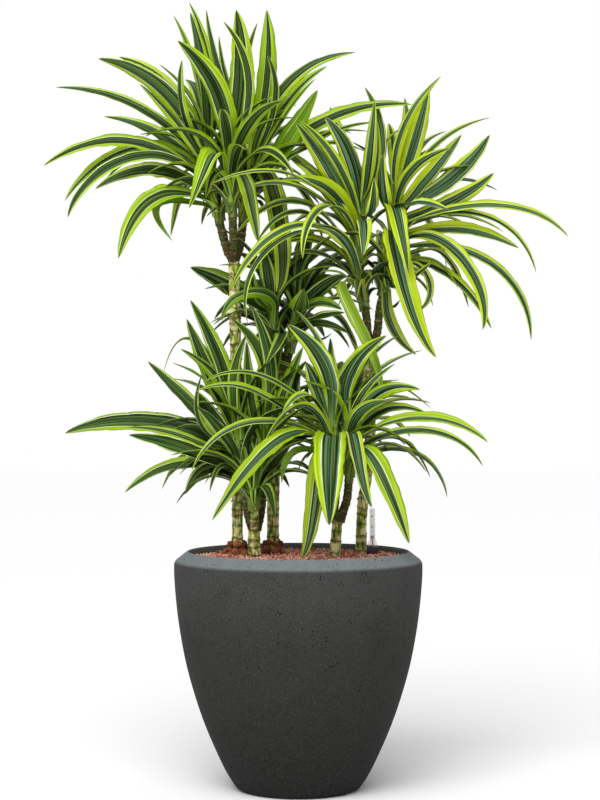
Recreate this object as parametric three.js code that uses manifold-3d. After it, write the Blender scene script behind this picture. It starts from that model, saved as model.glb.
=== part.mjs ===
// A potted dracaena with variegated leaves: five cut canes of different heights in a round
// stone-look planter filled with clay granulate, with a water gauge beside them.
// Millimetres, +Z up, the origin in the middle of the planter's flat base, the front towards -Y.
import * as THREE from "three";
import { mergeVertices } from "three/addons/utils/BufferGeometryUtils.js";
import Module from "manifold-3d";

const wasm = await Module();
wasm.setup();

// ---------------------------------------------------------------- driving dimensions

// The plant is laid out as it looks from the front: across, up and depth behind the pot's axis.
const EYE_DISTANCE = 3400;
const EYE_ACROSS = 3;
const EYE_HEIGHT = 674;

const CLEARANCE = 0.3;

// Where fusing leaves an edge shorter than this, its two ends become one corner.
const SHORTEST_EDGE = 0.05;

// The planter's wall, as [radius, height]: outside from base to rim, inside from rim to floor.
const POT = {
  outside: [[0, 0], [99, 0], [107, 3], [114.8, 12.7], [125.5, 30], [142, 64], [163.6, 115], [181.5, 168],
    [195.8, 221.5], [208.3, 292], [214.9, 358], [215.8, 385], [215, 392], [211.8, 397]],
  inside: [[193, 411.6], [190, 412], [191.5, 388], [188, 292], [174, 212], [150, 132], [122, 62], [98, 24],
    [0, 24]],
  sides: 36,
};

const SOIL = {
  height: 400,
  radius: 190.4,
  edgeDepth: 3,
  grain: 1.4,
  ringGap: 37,
  innerRings: 4,
};

// The waves of the grainy top, in radians per mm, and the share of it that the long ones make up.
const GRAIN_WAVES = {
  long: [0.29, 0.33],
  shift: [1.3, 0.4],
  short: [0.71, 0.53],
  share: 0.6,
};

const CANE = {
  buried: 95,
  firstRing: 14,
  ringGap: 44,
  ridge: 1.1,
  sides: 8,
  holeSides: 16,
};

const SHOOT = {
  radius: 7,
  firstRing: 30,
  ringGap: 20,
  ridge: 0.8,
  sides: 7,
};

// A ring scar swells over this height, and the gaps between scars waver by this share.
const SCAR = {
  rise: 3,
  waver: 0.22,
  waverStep: 2.3,
  clearOfTop: 6,
};

const SHEATH = {
  radius: 9.5,
  footRadius: 8.4,
  footHeight: 10,
  neckRadius: 7.1,
  neckDrop: 8,
  tipRadius: 3,
  tipRise: 5,
  pointRise: 9,
  sides: 6,
  firstLeaf: 10,
  lastLeaf: 4,
};

const BLADE = {
  thickness: 1.5,
  fold: 0.3,
  rootWidth: 0.3,
  widestAt: 0.45,
  taper: 0.9,
  steps: 20,
  stations: [3, 9, 15],
  turning: 0.35,
  probe: 0.01,
};

const PEBBLE = {
  radius: 9.5,
  shape: [1.1, 0.95, 0.85],
  smallest: 0.82,
  spread: 0.3,
  turnStep: { foot: 0.37, ring: 0.5 },
  sizeStep: { ball: 0.618, foot: 0.2, ring: 0.5 },
  roll: { upright: 1.7, level: 0.9 },
  rings: [
    { reach: 19, count: 5, lift: 0.6 },
    { reach: 33, count: 6, lift: 0.35 },
  ],
  mound: [[0, 0], [36, 0], [36, 3], [25, 5], [0, 5]],
  moundSides: 10,
};

const GAUGE = {
  across: 129,
  depth: 80,
  sides: 16,
  capRadius: 10.5,
  capTop: 414,
  capFoot: 396,
  shaftRadius: 8,
  shaftFoot: 280,
  shaftFloor: 4,
  boreRadius: 4.2,
  tubeRadius: 5.2,
  tubeBore: 4.3,
  tubeTop: 481,
  tubeRoof: 1.6,
  flareRadius: 9.5,
  flareRise: 2.5,
  flareTop: 427,
  floatSides: 10,
  floatRadius: 3.5,
  floatLength: 30,
  rodRadius: 1.2,
  tipRadius: 3,
  tipHeight: 430,
  bevel: 1,
};

// Canes, from the soil up: points [across, up, depth] and the radius of the wood.
const CANES = {
  a: { radius: 9.8, path: [[-106, 400, 60], [-106, 560, 58], [-109, 760, 57], [-112, 932, 55]] },
  b: { radius: 10.8, path: [[-76, 400, 10], [-77, 430, 10], [-76, 464, 10]] },
  c: { radius: 10.8, path: [[-44, 400, 85], [-42, 545, 85], [-33, 650, 85], [-26, 717, 85], [-25, 744, 85]] },
  d: { radius: 9.3, path: [[64, 400, 5], [66, 440, 5], [70, 480, 5]] },
  e: { radius: 9.6, path: [[109, 400, 120], [113, 500, 120], [121, 552, 120], [125, 608, 120],
    [124, 674, 120], [123, 730, 118], [126, 780, 118]] },
};

// Shoots that grew from the cut canes. Each is bare wood up to "leafy", and leaf sheaths above it.
const SHOOTS = {
  a1: { cane: "a", leafy: 986, path: [[-114, 915, 55], [-122, 932, 55], [-137, 985, 50], [-150, 1050, 45],
    [-160, 1116, 40]] },
  a2: { cane: "a", leafy: 1000, path: [[-112, 915, 52], [-112, 932, 44], [-114, 985, 24], [-118, 1050, 14],
    [-122, 1116, 8]] },
  a3: { cane: "a", leafy: 984, path: [[-110, 915, 57], [-104, 932, 65], [-96, 985, 75], [-88, 1050, 80],
    [-80, 1126, 85]] },
  b1: { cane: "b", leafy: 508, path: [[-80, 448, 10], [-86, 468, 10], [-91, 505, 10], [-98, 560, 10],
    [-104, 628, 12]] },
  b2: { cane: "b", leafy: 512, path: [[-72, 448, 12], [-66, 474, 16], [-62, 510, 20], [-59, 560, 24],
    [-61, 630, 28]] },
  b3: { cane: "b", leafy: 486, path: [[-76, 448, 6], [-76, 474, -4], [-77, 496, -10], [-77, 522, -13]] },
  c1: { cane: "c", leafy: 756, path: [[-27, 728, 85], [-31, 745, 85], [-41, 790, 82], [-48, 858, 78]] },
  c2: { cane: "c", leafy: 756, path: [[-23, 728, 85], [-19, 745, 86], [-7, 790, 90], [3, 862, 94]] },
  d1: { cane: "d", leafy: 548, path: [[67, 462, 5], [63, 478, 4], [64, 500, 3], [67, 545, 2], [60, 600, 0],
    [55, 655, -2]] },
  d2: { cane: "d", leafy: 540, path: [[73, 462, 6], [77, 478, 8], [84, 500, 9], [88, 540, 10], [87, 600, 10],
    [83, 656, 10]] },
  e1: { cane: "e", leafy: 838, path: [[124, 762, 118], [121, 790, 116], [117, 830, 112], [108, 870, 110],
    [104, 905, 110], [107, 950, 108], [112, 1024, 106]] },
  e2: { cane: "e", leafy: 862, path: [[130, 762, 118], [137, 790, 118], [142, 835, 118], [150, 868, 118],
    [158, 900, 118], [165, 945, 116], [171, 1036, 114]] },
};

// Leafy heads: the shoots whose leaves have grown through each other are one head.
const HEADS = {
  a1: ["a1"],
  a2: ["a2"],
  a3: ["a3"],
  b1: ["b1"],
  b2: ["b2"],
  b3: ["b3"],
  c1: ["c1"],
  c2: ["c2"],
  d: ["d1", "d2"],
  e1: ["e1"],
  e2: ["e2"],
};

// Leaves in view, the oldest first on each shoot: a leaf's place in the list gives the height of its root.
// [width, facing, then two or three points (across, up, depth), the last at the tip]
// Facing turns the upper face from straight up (0) towards the front (90) or the back (-90).
const LEAVES = {
  a1: [
    [10, 40, -140, 1008, 30, -160, 993, 20],
    [18, 50, -205, 1022, 40, -240, 1020, 20, -219, 951, -10],
    [34, 55, -248, 1038, -20, -313, 920, -90],
    [27, 45, -262, 1076, 30, -353, 1041, 20],
    [28, 50, -255, 1100, 20, -350, 1070, -20, -401, 992, -60],
    [26, 55, -260, 1118, 80, -345, 1094, 95, -406, 1021, 95],
    [21, 50, -310, 1132, 60, -444, 1081, 60],
    [26, 50, -258, 1150, 110, -338, 1167, 150],
    [38, -55, -255, 1211, 0, -348, 1268, -40],
    [20, 60, -290, 1190, 45, -422, 1218, 25],
    [30, 60, -235, 1236, 70, -312, 1271, 100],
    [30, 40, -196, 1187, -40, -197, 1266, -80],
    [14, 60, -180, 1255, 70, -217, 1343, 90],
    [26, 60, -163, 1245, 25, -188, 1348, 5],
    [18, 60, -156, 1262, 60, -190, 1366, 85],
  ],
  a2: [
    [30, 20, -100, 1066, -30, -84, 1020, -62, -70, 950, -72],
    [40, 15, -140, 1100, -25, -156, 1095, -92, -190, 1007, -120],
    [26, 40, -62, 1108, -40, -8, 1066, -90],
    [32, -20, -78, 1160, -45, -27, 1195, -110],
    [32, 70, -145, 1225, -25, -210, 1299, -60],
    [20, 60, -88, 1250, -20, -130, 1332, -40],
    [42, 70, -98, 1236, 5, -108, 1353, -5],
  ],
  a3: [
    [34, 30, -60, 1072, 44, -28, 1000, 24, -38, 862, 12],
    [14, 50, 40, 1120, 60, 118, 1105, 80],
    [34, 50, -8, 1165, 58, 34, 1213, 24],
    [15, 50, 60, 1140, 130, 140, 1157, 170],
    [25, 50, 70, 1178, 90, 198, 1188, 100],
    [12, 60, -5, 1195, 50, 30, 1233, 30],
    [14, 50, 40, 1138, 205, 125, 1141, 255],
    [24, 60, 5, 1245, 70, 99, 1279, 60],
    [20, 60, -5, 1212, 120, 51, 1255, 160],
    [16, 60, -40, 1222, 60, -55, 1276, 40],
    [30, 70, -54, 1245, 80, -55, 1353, 90],
    [10, 60, -85, 1265, 110, -71, 1330, 130],
    [12, 60, -132, 1250, 120, -160, 1353, 160],
    [12, 60, -118, 1230, 130, -138, 1307, 180],
  ],
  b1: [
    [12, 45, -132, 560, -12, -154, 514, -20],
    [28, 50, -155, 573, 10, -197, 510, 0],
    [28, 50, -212, 582, 24, -302, 513, 20],
    [30, 50, -205, 600, -24, -295, 613, -50],
    [18, 45, -215, 616, 34, -297, 626, 40],
    [30, 60, -190, 630, 84, -290, 656, 100, -406, 616, 110],
    [24, 60, -140, 625, -30, -176, 662, -60],
    [28, 60, -190, 672, 44, -262, 741, 54],
    [36, 60, -150, 642, 0, -178, 690, -16],
    [12, -50, -172, 640, -45, -168, 718, -66],
    [22, -60, -142, 712, 26, -205, 763, 16],
    [9, 50, -150, 745, 96, -200, 787, 130, -237, 705, 150],
    [30, 60, -162, 735, 44, -194, 815, 60],
    [32, 60, -133, 738, 12, -188, 848, 24],
    [22, 60, -113, 712, 0, -90, 788, -16],
  ],
  b2: [
    [22, 60, -42, 566, 10, -6, 610, 20],
    [14, 60, -70, 560, -10, -70, 612, -24],
    [14, 60, -85, 700, 20, -93, 776, 30],
    [20, 60, -70, 690, 40, -60, 752, 52],
    [28, 60, -57, 735, 16, -117, 816, -8],
  ],
  b3: [
    [10, 30, -89, 514, -24, -99, 523, -32],
    [18, 30, -60, 524, -34, -41, 468, -48],
    [12, 20, -79, 516, -36, -77, 482, -40],
  ],
  c1: [
    [10, 50, -100, 822, 112, -153, 808, 122],
    [16, 40, -30, 784, 10, -57, 735, -16],
    [18, 50, -56, 800, 30, -85, 840, 0],
    [10, 60, -100, 838, 96, -137, 880, 104],
    [20, 45, -50, 856, 40, -98, 858, 8, -133, 812, -6],
    [30, 60, -116, 868, 124, -188, 905, 140],
    [22, 60, -70, 850, 66, -79, 900, 54],
    [16, 60, -38, 880, 100, -58, 945, 110],
    [28, 60, -51, 880, 56, -64, 948, 44],
  ],
  c2: [
    [20, -50, -28, 768, 44, -44, 695, 30],
    [6, 50, 35, 778, 104, 58, 790, 124],
    [10, 50, 42, 806, 60, 87, 790, 50],
    [16, 50, 42, 820, 30, 81, 826, 8],
    [26, 50, 36, 843, 60, 76, 831, 46],
    [30, -60, 38, 866, 84, 80, 892, 80],
    [40, -55, 1, 832, 56, 9, 868, 32],
    [20, 60, 28, 880, 116, 63, 890, 136],
    [36, 60, -17, 866, 108, -9, 920, 116],
  ],
  d1: [
    [32, 20, 42, 590, -50, 27, 520, -92, 6, 398, -104],
    [18, 40, -6, 584, -20, -29, 530, -40],
    [10, 40, -8, 606, 34, -45, 587, 52],
    [40, 20, 8, 622, -60, -75, 600, -112, -150, 464, -132],
    [18, 40, -4, 630, 44, -48, 602, 58],
    [54, 10, 56, 618, -82, 54, 568, -132, 54, 456, -146],
    [16, 50, -20, 634, -14, -115, 626, -56, -186, 550, -74],
    [22, -40, 2, 664, -64, -60, 598, -90],
    [22, 30, 10, 684, -50, -28, 650, -88],
    [18, 50, -20, 658, -4, -100, 698, -60, -178, 689, -96],
    [14, 60, 15, 676, 50, 17, 703, 74],
    [26, 60, -8, 694, 36, 14, 742, 54],
    [13, 45, -15, 690, -6, -90, 722, -48, -168, 704, -74],
    [34, 60, 35, 694, -16, 13, 740, -24],
    [38, 60, 46, 734, -34, -20, 806, -60],
    [12, 60, 42, 764, 16, -6, 832, -2],
  ],
  d2: [
    [11, 45, 150, 594, 34, 215, 583, 54, 259, 505, 64],
    [28, 20, 96, 614, -56, 107, 560, -98, 128, 487, -112],
    [40, 20, 120, 594, -50, 156, 540, -92, 193, 424, -104],
    [18, 45, 150, 614, 0, 240, 620, 0, 321, 559, 0],
    [22, 45, 150, 642, -40, 245, 654, -64, 330, 600, -84],
    [18, 50, 155, 677, 54, 223, 651, 64],
    [28, -60, 112, 655, -44, 157, 673, -80],
    [26, 55, 137, 704, -20, 212, 692, -50],
    [12, 45, 148, 702, 84, 232, 658, 116],
    [13, 60, 119, 694, -50, 168, 737, -76],
    [20, 60, 60, 726, 60, 56, 782, 82],
    [26, 60, 98, 692, 40, 117, 745, 58],
    [8, 60, 108, 735, 66, 86, 788, 76],
    [34, 60, 90, 722, -20, 153, 786, -56],
  ],
  e1: [
    [8, 50, 80, 862, 84, 52, 845, 66],
    [10, 50, 70, 896, 60, 38, 897, 36],
    [14, 50, 32, 930, 56, -35, 916, 16],
    [24, -55, 76, 872, 44, 112, 792, 8, 142, 684, -4],
    [12, 50, 45, 909, 84, -2, 877, 84],
    [18, 50, 36, 950, 90, -47, 940, 92],
    [24, 50, 68, 962, 40, 22, 975, -10],
    [14, 40, 20, 968, 20, -62, 925, -30, -88, 808, -60],
    [26, 40, 35, 976, 10, -45, 958, -74, -116, 868, -120],
    [12, 45, -12, 1022, 30, -108, 965, -6],
    [12, 45, -12, 1002, 24, -72, 948, -20],
    [22, 35, 58, 1012, 16, 20, 986, -52, 8, 920, -82],
    [28, 20, 113, 986, 56, 116, 966, 20, 112, 924, 2],
    [14, 50, -20, 1068, -50, -155, 1049, -140],
    [10, 45, -20, 1052, 10, -105, 1035, -50],
    [32, 50, 50, 1046, 40, -28, 1058, -20],
    [18, 50, -12, 1100, 190, -98, 1132, 250],
    [34, 60, 38, 1100, 44, -5, 1157, 14],
    [20, 60, 47, 1118, 30, 2, 1160, 10],
    [34, 60, 83, 1112, 60, 45, 1167, 30],
    [30, 60, 80, 1112, 150, 55, 1184, 180],
    [24, 60, 125, 1100, 50, 133, 1195, 20],
    [22, -60, 144, 1132, 104, 116, 1218, 104],
    [14, 60, 137, 1085, 20, 137, 1160, -20],
  ],
  e2: [
    [20, 50, 178, 822, 86, 205, 753, 64],
    [12, 50, 162, 834, 160, 177, 848, 176],
    [12, 40, 205, 900, 64, 222, 872, 42, 202, 825, 24],
    [10, 40, 212, 880, 116, 234, 837, 124],
    [8, 50, 232, 918, 100, 278, 868, 90],
    [10, 50, 232, 908, 190, 275, 880, 222],
    [8, 50, 205, 931, 128, 232, 936, 140],
    [26, 50, 265, 900, 140, 336, 798, 150],
    [32, 50, 215, 960, 90, 288, 915, 52, 321, 796, 34],
    [18, 50, 255, 946, 150, 350, 905, 172, 405, 778, 184],
    [14, 40, 240, 962, 200, 258, 895, 240],
    [45, 20, 168, 965, 24, 195, 870, -34, 240, 748, -52],
    [36, 15, 165, 1012, 54, 174, 986, -14, 192, 893, -44],
    [26, 50, 282, 980, 90, 384, 938, 92],
    [14, 50, 275, 996, 184, 358, 966, 224],
    [16, 50, 250, 1000, 140, 345, 986, 162, 414, 895, 166],
    [26, 50, 255, 1026, 60, 370, 1020, 40, 470, 958, 20],
    [30, 60, 196, 1018, 0, 262, 1005, -70],
    [26, 50, 272, 1034, 144, 340, 1069, 170],
    [28, -55, 226, 1070, 50, 284, 1136, 10],
    [22, 60, 206, 1082, 14, 267, 1113, -40],
    [40, 60, 258, 1060, 90, 333, 1135, 60],
    [12, 60, 256, 1131, 124, 333, 1165, 114],
    [20, 60, 180, 1136, 84, 248, 1237, 84],
    [34, 60, 207, 1136, 130, 227, 1217, 132],
    [26, 60, 188, 1112, 176, 185, 1200, 200],
  ],
};

// Leaves on the far side, laid out by rule: how many, the sector they spread over in degrees
// (90 is straight back), and their length.
const FAR_LEAVES = {
  a1: { count: 4, from: 95, to: 165, length: 270 },
  a2: { count: 3, from: -125, to: -70, length: 150 },
  a3: { count: 6, from: 20, to: 110, length: 270 },
  b1: { count: 3, from: 138, to: 168, length: 220 },
  c1: { count: 5, from: 85, to: 165, length: 240 },
  c2: { count: 5, from: 25, to: 100, length: 240 },
  d1: { count: 4, from: 72, to: 118, length: 170 },
  d2: { count: 4, from: 12, to: 46, length: 200 },
  e1: { count: 5, from: 95, to: 170, length: 260 },
  e2: { count: 6, from: 15, to: 100, length: 270 },
};

// How far-side leaves age: angles in degrees and widths run from the youngest leaf to the oldest.
const FAR_RULE = {
  turn: 0.618,
  firstTurn: 0.3,
  rise: [62, 22],
  droop: [25, 80],
  width: [24, 33],
  widthStep: 0.73,
  shorter: 0.25,
  shorterStep: 0.37,
};

// ---------------------------------------------------------------- materials

function finish(color, roughness, extra = {}) {
  return new THREE.MeshStandardMaterial({ color, roughness, metalness: 0, ...extra });
}

const FINISH = {
  pot: finish(0x3d3d3c, 0.85),
  granulate: finish(0xa85c48, 0.95),
  pebbles: finish(0x8a4a32, 0.95),
  wood: finish(0x6f7f45, 0.8),
  leaf: finish(0x6f9a2a, 0.5),
  cap: finish(0x2a1f29, 0.45),
  tube: finish(0xdfe4e6, 0.1, { transparent: true, opacity: 0.35 }),
  float: finish(0xb3261e, 0.4),
};

// ---------------------------------------------------------------- solids

// A closed geometry as a solid that can be joined and cut.
function solid(geometry) {
  const bare = geometry.clone();
  bare.deleteAttribute("normal");
  bare.deleteAttribute("uv");
  const merged = mergeVertices(bare, 1e-4);
  return new wasm.Manifold(new wasm.Mesh({
    numProp: 3,
    vertProperties: new Float32Array(merged.attributes.position.array),
    triVerts: new Uint32Array(merged.index.array),
  }));
}

function geometryOf(body) {
  const mesh = body.getMesh();
  const geometry = new THREE.BufferGeometry();
  geometry.setAttribute("position", new THREE.BufferAttribute(new Float32Array(mesh.vertProperties), 3));
  geometry.setIndex(new THREE.BufferAttribute(new Uint32Array(mesh.triVerts), 1));
  return geometry;
}

// Bodies fused into one, with the shortest edges closed up.
function join(bodies) {
  const mesh = wasm.Manifold.union(bodies).getMesh();
  const corners = mesh.vertProperties;
  const faces = mesh.triVerts;
  const same = Array.from({ length: mesh.numVert }, (_, i) => i);
  const first = (i) => (same[i] === i ? i : first(same[i]));
  for (let i = 0; i < faces.length; i += 1) {
    const a = faces[i];
    const b = faces[i % 3 === 2 ? i - 2 : i + 1];
    const span = [0, 1, 2].map((axis) => corners[a * 3 + axis] - corners[b * 3 + axis]);
    if (Math.hypot(...span) < SHORTEST_EDGE) {
      same[Math.max(first(a), first(b))] = Math.min(first(a), first(b));
    }
  }
  const kept = [];
  for (let i = 0; i < faces.length; i += 3) {
    const face = [first(faces[i]), first(faces[i + 1]), first(faces[i + 2])];
    if (new Set(face).size === 3) kept.push(...face);
  }
  const geometry = new THREE.BufferGeometry();
  geometry.setAttribute("position", new THREE.BufferAttribute(new Float32Array(corners), 3));
  geometry.setIndex(kept);
  return solid(geometry);
}

// A solid of revolution about the vertical: the profile is a list of [radius, height].
function turned(profile, sides) {
  const points = profile.map(([radius, height]) => new THREE.Vector2(radius, height));
  return new THREE.LatheGeometry(points, sides).rotateX(Math.PI / 2);
}

function place([across, up, depth]) {
  const spread = (EYE_DISTANCE + depth) / EYE_DISTANCE;
  const x = EYE_ACROSS + (across - EYE_ACROSS) * spread;
  const z = EYE_HEIGHT + (up - EYE_HEIGHT) * spread;
  return new THREE.Vector3(x, depth, z);
}

// The point where a rising line of points reaches a height.
function lineAt(points, height) {
  const last = points.length - 1;
  let step = 1;
  while (step < last && points[step].z < height) step += 1;
  const low = points[step - 1];
  const high = points[step];
  const share = (height - low.z) / (high.z - low.z);
  return low.clone().lerp(high, share);
}

// A turned solid, leaned and bent so that its axis follows a rising line of points.
function swayed(profile, sides, points) {
  const geometry = turned(profile, sides);
  const position = geometry.attributes.position;
  for (let i = 0; i < position.count; i += 1) {
    const centre = lineAt(points, position.getZ(i));
    position.setX(i, position.getX(i) + centre.x);
    position.setY(i, position.getY(i) + centre.y);
  }
  return geometry;
}

// ---------------------------------------------------------------- the planter and its fill

function makePot() {
  return turned([...POT.outside, ...POT.inside], POT.sides);
}

// The grainy top of the granulate, as a height that wavers about its mean.
function grain(x, y) {
  const { long, shift, short, share } = GRAIN_WAVES;
  const coarse = Math.sin(x * long[0] + shift[0]) * Math.cos(y * long[1] - shift[1]);
  const fine = Math.sin(x * short[0] - y * short[1]);
  return SOIL.grain * (share * coarse + (1 - share) * fine);
}

// The fill: clear of the planter's inside all round, with rings of points on its top to carry the grain.
function granulateBody() {
  const { height, radius, edgeDepth, ringGap, innerRings } = SOIL;
  const wall = POT.inside.filter((corner) => corner[1] < height && corner[0] > 0);
  const sides = wall.map(([reach, level]) => [reach - CLEARANCE, level + CLEARANCE]).reverse();
  const top = [];
  for (let ring = innerRings; ring > 0; ring -= 1) {
    top.push([ring * ringGap, height]);
  }
  const edge = [radius - CLEARANCE, height - edgeDepth];
  const profile = [[0, sides[0][1]], ...sides, edge, ...top, [0, height]];
  const geometry = turned(profile, POT.sides);
  const position = geometry.attributes.position;
  for (let i = 0; i < position.count; i += 1) {
    if (position.getZ(i) > height - CLEARANCE) {
      position.setZ(i, height + grain(position.getX(i), position.getY(i)));
    }
  }
  return solid(geometry);
}

// ---------------------------------------------------------------- canes and shoots

// Wood with ring scars, from one height to another.
function ringedProfile(low, high, { radius, ringGap, ridge }, firstRing) {
  const profile = [[0, low], [radius, low]];
  let ring = 0;
  let height = firstRing;
  while (height < high - SCAR.clearOfTop) {
    profile.push([radius, height - SCAR.rise], [radius + ridge, height]);
    ring += 1;
    height += ringGap * (1 + SCAR.waver * Math.sin(ring * SCAR.waverStep));
  }
  profile.push([radius, high], [0, high]);
  return profile;
}

function canePath(name) {
  const points = CANES[name].path.map(place);
  const foot = points[0].clone();
  foot.z = SOIL.height - CANE.buried;
  return [foot, ...points];
}

function shootPath(name) {
  return SHOOTS[name].path.map(place);
}

// The height at which the leaf sheaths begin.
function leafyFrom(name) {
  const { path, leafy } = SHOOTS[name];
  const depth = path[Math.floor(path.length / 2)][2];
  return place([0, leafy, depth]).z;
}

function shootsOf(cane) {
  return Object.keys(SHOOTS).filter((name) => SHOOTS[name].cane === cane);
}

// A cane with the woody feet of its shoots, grown together as one piece.
function caneBody(name) {
  const path = canePath(name);
  const wood = { ...CANE, radius: CANES[name].radius };
  const profile = ringedProfile(path[0].z, path[path.length - 1].z, wood, SOIL.height + CANE.firstRing);
  const bodies = [solid(swayed(profile, CANE.sides, path))];
  for (const shoot of shootsOf(name)) {
    const line = shootPath(shoot);
    const start = line[0].z;
    const bare = ringedProfile(start, leafyFrom(shoot), SHOOT, start + SHOOT.firstRing);
    bodies.push(solid(swayed(bare, SHOOT.sides, line)));
  }
  return join(bodies);
}

// The plain hole that a cane's foot stands in, up to well above the granulate.
function caneHole(name) {
  const path = canePath(name);
  const radius = CANES[name].radius + CANE.ridge + CLEARANCE;
  const low = path[0].z - CLEARANCE;
  const bend = path[1].z;
  const high = path[2].z;
  const profile = [[0, low], [radius, low], [radius, bend], [radius, high], [0, high]];
  return solid(swayed(profile, CANE.holeSides, path));
}

// ---------------------------------------------------------------- leaves

// The point and the direction at a share of the way along a midrib, a smooth curve through all its points.
function midrib(points, share) {
  const last = points.length - 1;
  const at = (t) => {
    const sum = new THREE.Vector3();
    points.forEach((point, i) => {
      let weight = 1;
      points.forEach((_, j) => {
        if (j !== i) weight *= (t * last - j) / (i - j);
      });
      sum.addScaledVector(point, weight);
    });
    return sum;
  };
  const point = at(share);
  const direction = at(share + BLADE.probe).sub(at(share - BLADE.probe)).normalize();
  return { point, direction };
}

// The half width of a blade along its length, as a share of the widest.
function outline(share) {
  const { rootWidth, widestAt, taper } = BLADE;
  if (share < widestAt) {
    return rootWidth + (1 - rootWidth) * Math.sin(share / widestAt * Math.PI / 2);
  }
  return Math.cos((share - widestAt) / (1 - widestAt) * Math.PI / 2) ** taper;
}

// How a blade lies along its midrib, step by step: where it is, the way across it and out of its upper face.
// It leaves the shoot level, and rolls until that face is turned as far towards its facing as it can be.
function bladeFrames({ points, facing }) {
  const angle = THREE.MathUtils.degToRad(facing);
  const hint = new THREE.Vector3(0, -Math.sin(angle), Math.cos(angle));
  const level = new THREE.Vector3(0, 0, 1).cross(midrib(points, 0).direction).negate();
  let roll = 0;
  return Array.from({ length: BLADE.steps + 1 }, (_, k) => {
    const { point, direction } = midrib(points, k / BLADE.steps);
    level.addScaledVector(direction, -level.dot(direction)).normalize();
    const up = direction.clone().cross(level);
    const wanted = direction.clone().cross(hint);
    const aim = Math.atan2(wanted.dot(up), wanted.dot(level));
    const nearest = aim + Math.PI * Math.round((roll - aim) / Math.PI);
    roll += (nearest - roll) * BLADE.turning * wanted.lengthSq();
    const side = level.clone().multiplyScalar(Math.cos(roll)).addScaledVector(up, Math.sin(roll));
    const normal = side.clone().cross(direction);
    return { point, side, normal };
  });
}

// A thin folded blade: a pointed root, four corners at each station and a pointed tip.
function blade(leaf) {
  const frames = bladeFrames(leaf);
  const vertices = [leaf.points[0]];
  for (const step of BLADE.stations) {
    const { point, side, normal } = frames[step];
    const half = leaf.width / 2 * outline(step / BLADE.steps);
    const raise = half * BLADE.fold;
    const thick = BLADE.thickness / 2;
    vertices.push(point.clone().addScaledVector(side, -half).addScaledVector(normal, raise));
    vertices.push(point.clone().addScaledVector(normal, thick));
    vertices.push(point.clone().addScaledVector(side, half).addScaledVector(normal, raise));
    vertices.push(point.clone().addScaledVector(normal, -thick));
  }
  vertices.push(frames[BLADE.steps].point);
  const corners = 4;
  const lower = corners / 2;
  const tip = vertices.length - 1;
  const faces = [];
  for (let c = 0; c < corners; c += 1) {
    const next = (c + 1) % corners;
    faces.push([0, 1 + next, 1 + c]);
    for (let k = 0; k < BLADE.stations.length - 1; k += 1) {
      const a = 1 + k * corners + c;
      const b = 1 + k * corners + next;
      const split = c < lower ? [b, a + corners] : [a, b + corners];
      faces.push([a, b, split[1]], [split[0], b + corners, a + corners]);
    }
    faces.push([tip - corners + c, tip - corners + next, tip]);
  }
  const geometry = new THREE.BufferGeometry().setFromPoints(vertices);
  geometry.setIndex(faces.flat());
  return solid(geometry);
}

// A leaf on the far side: it rises from its root and droops past its middle, more so the older it is.
function farLeaf(k, { count, from, to, length }, line, low, high) {
  const { lerp, degToRad } = THREE.MathUtils;
  const rule = FAR_RULE;
  const age = 1 - (k + 0.5) / count;
  const turn = (k * rule.turn + rule.firstTurn) % 1;
  const azimuth = degToRad(lerp(from, to, turn));
  const rise = degToRad(lerp(...rule.rise, age));
  const fall = rise - degToRad(lerp(...rule.droop, age));
  const reach = length * (1 - rule.shorter * ((k * rule.shorterStep) % 1)) / 2;
  const width = lerp(...rule.width, (k * rule.widthStep) % 1);
  const along = (angle) => new THREE.Vector3(
    Math.cos(azimuth) * Math.cos(angle), Math.sin(azimuth) * Math.cos(angle), Math.sin(angle));
  const centre = lineAt(line, lerp(low, high, 1 - age));
  const middle = centre.clone().addScaledVector(along(rise), reach);
  const tip = middle.clone().addScaledVector(along(fall), reach);
  return { points: [centre, middle, tip], width, facing: 0 };
}

function farLeaves(name, line, low, high) {
  const rule = FAR_LEAVES[name];
  if (!rule) return [];
  return Array.from({ length: rule.count }, (_, k) => farLeaf(k, rule, line, low, high));
}

function shownLeaves(name, line, low, high) {
  const rows = LEAVES[name];
  return rows.map(([width, facing, ...numbers], i) => {
    const points = [];
    for (let k = 0; k < numbers.length; k += 3) {
      points.push(place(numbers.slice(k, k + 3)));
    }
    points.unshift(lineAt(line, THREE.MathUtils.lerp(low, high, (i + 0.5) / rows.length)));
    return { points, width, facing };
  });
}

// The main body of a joined solid, without the loose scraps that fusing leaves behind.
function mainBody(body) {
  return body.decompose().reduce((best, next) => (next.volume() > best.volume() ? next : best));
}

// The overlapping leaf sheaths round a shoot, as one tapered core.
function sheathCore(name) {
  const line = shootPath(name);
  const low = leafyFrom(name) + CLEARANCE;
  const high = line[line.length - 1].z;
  const s = SHEATH;
  const middle = (low + high) / 2;
  const profile = [[0, low], [s.footRadius, low], [s.radius, low + s.footHeight], [s.radius, middle],
    [s.neckRadius, high - s.neckDrop], [s.tipRadius, high + s.tipRise], [0, high + s.pointRise]];
  return solid(swayed(profile, s.sides, line));
}

function shootLeaves(name) {
  const line = shootPath(name);
  const low = leafyFrom(name) + SHEATH.firstLeaf;
  const high = line[line.length - 1].z - SHEATH.lastLeaf;
  return [...shownLeaves(name, line, low, high), ...farLeaves(name, line, low, high)];
}

// The sheaths and all the leaves of the shoots that have grown into each other.
function headBody(shoots) {
  const cores = shoots.map(sheathCore);
  const blades = shoots.flatMap(shootLeaves).map(blade);
  return mainBody(join([...cores, ...blades]));
}

// ---------------------------------------------------------------- clay pebbles

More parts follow.
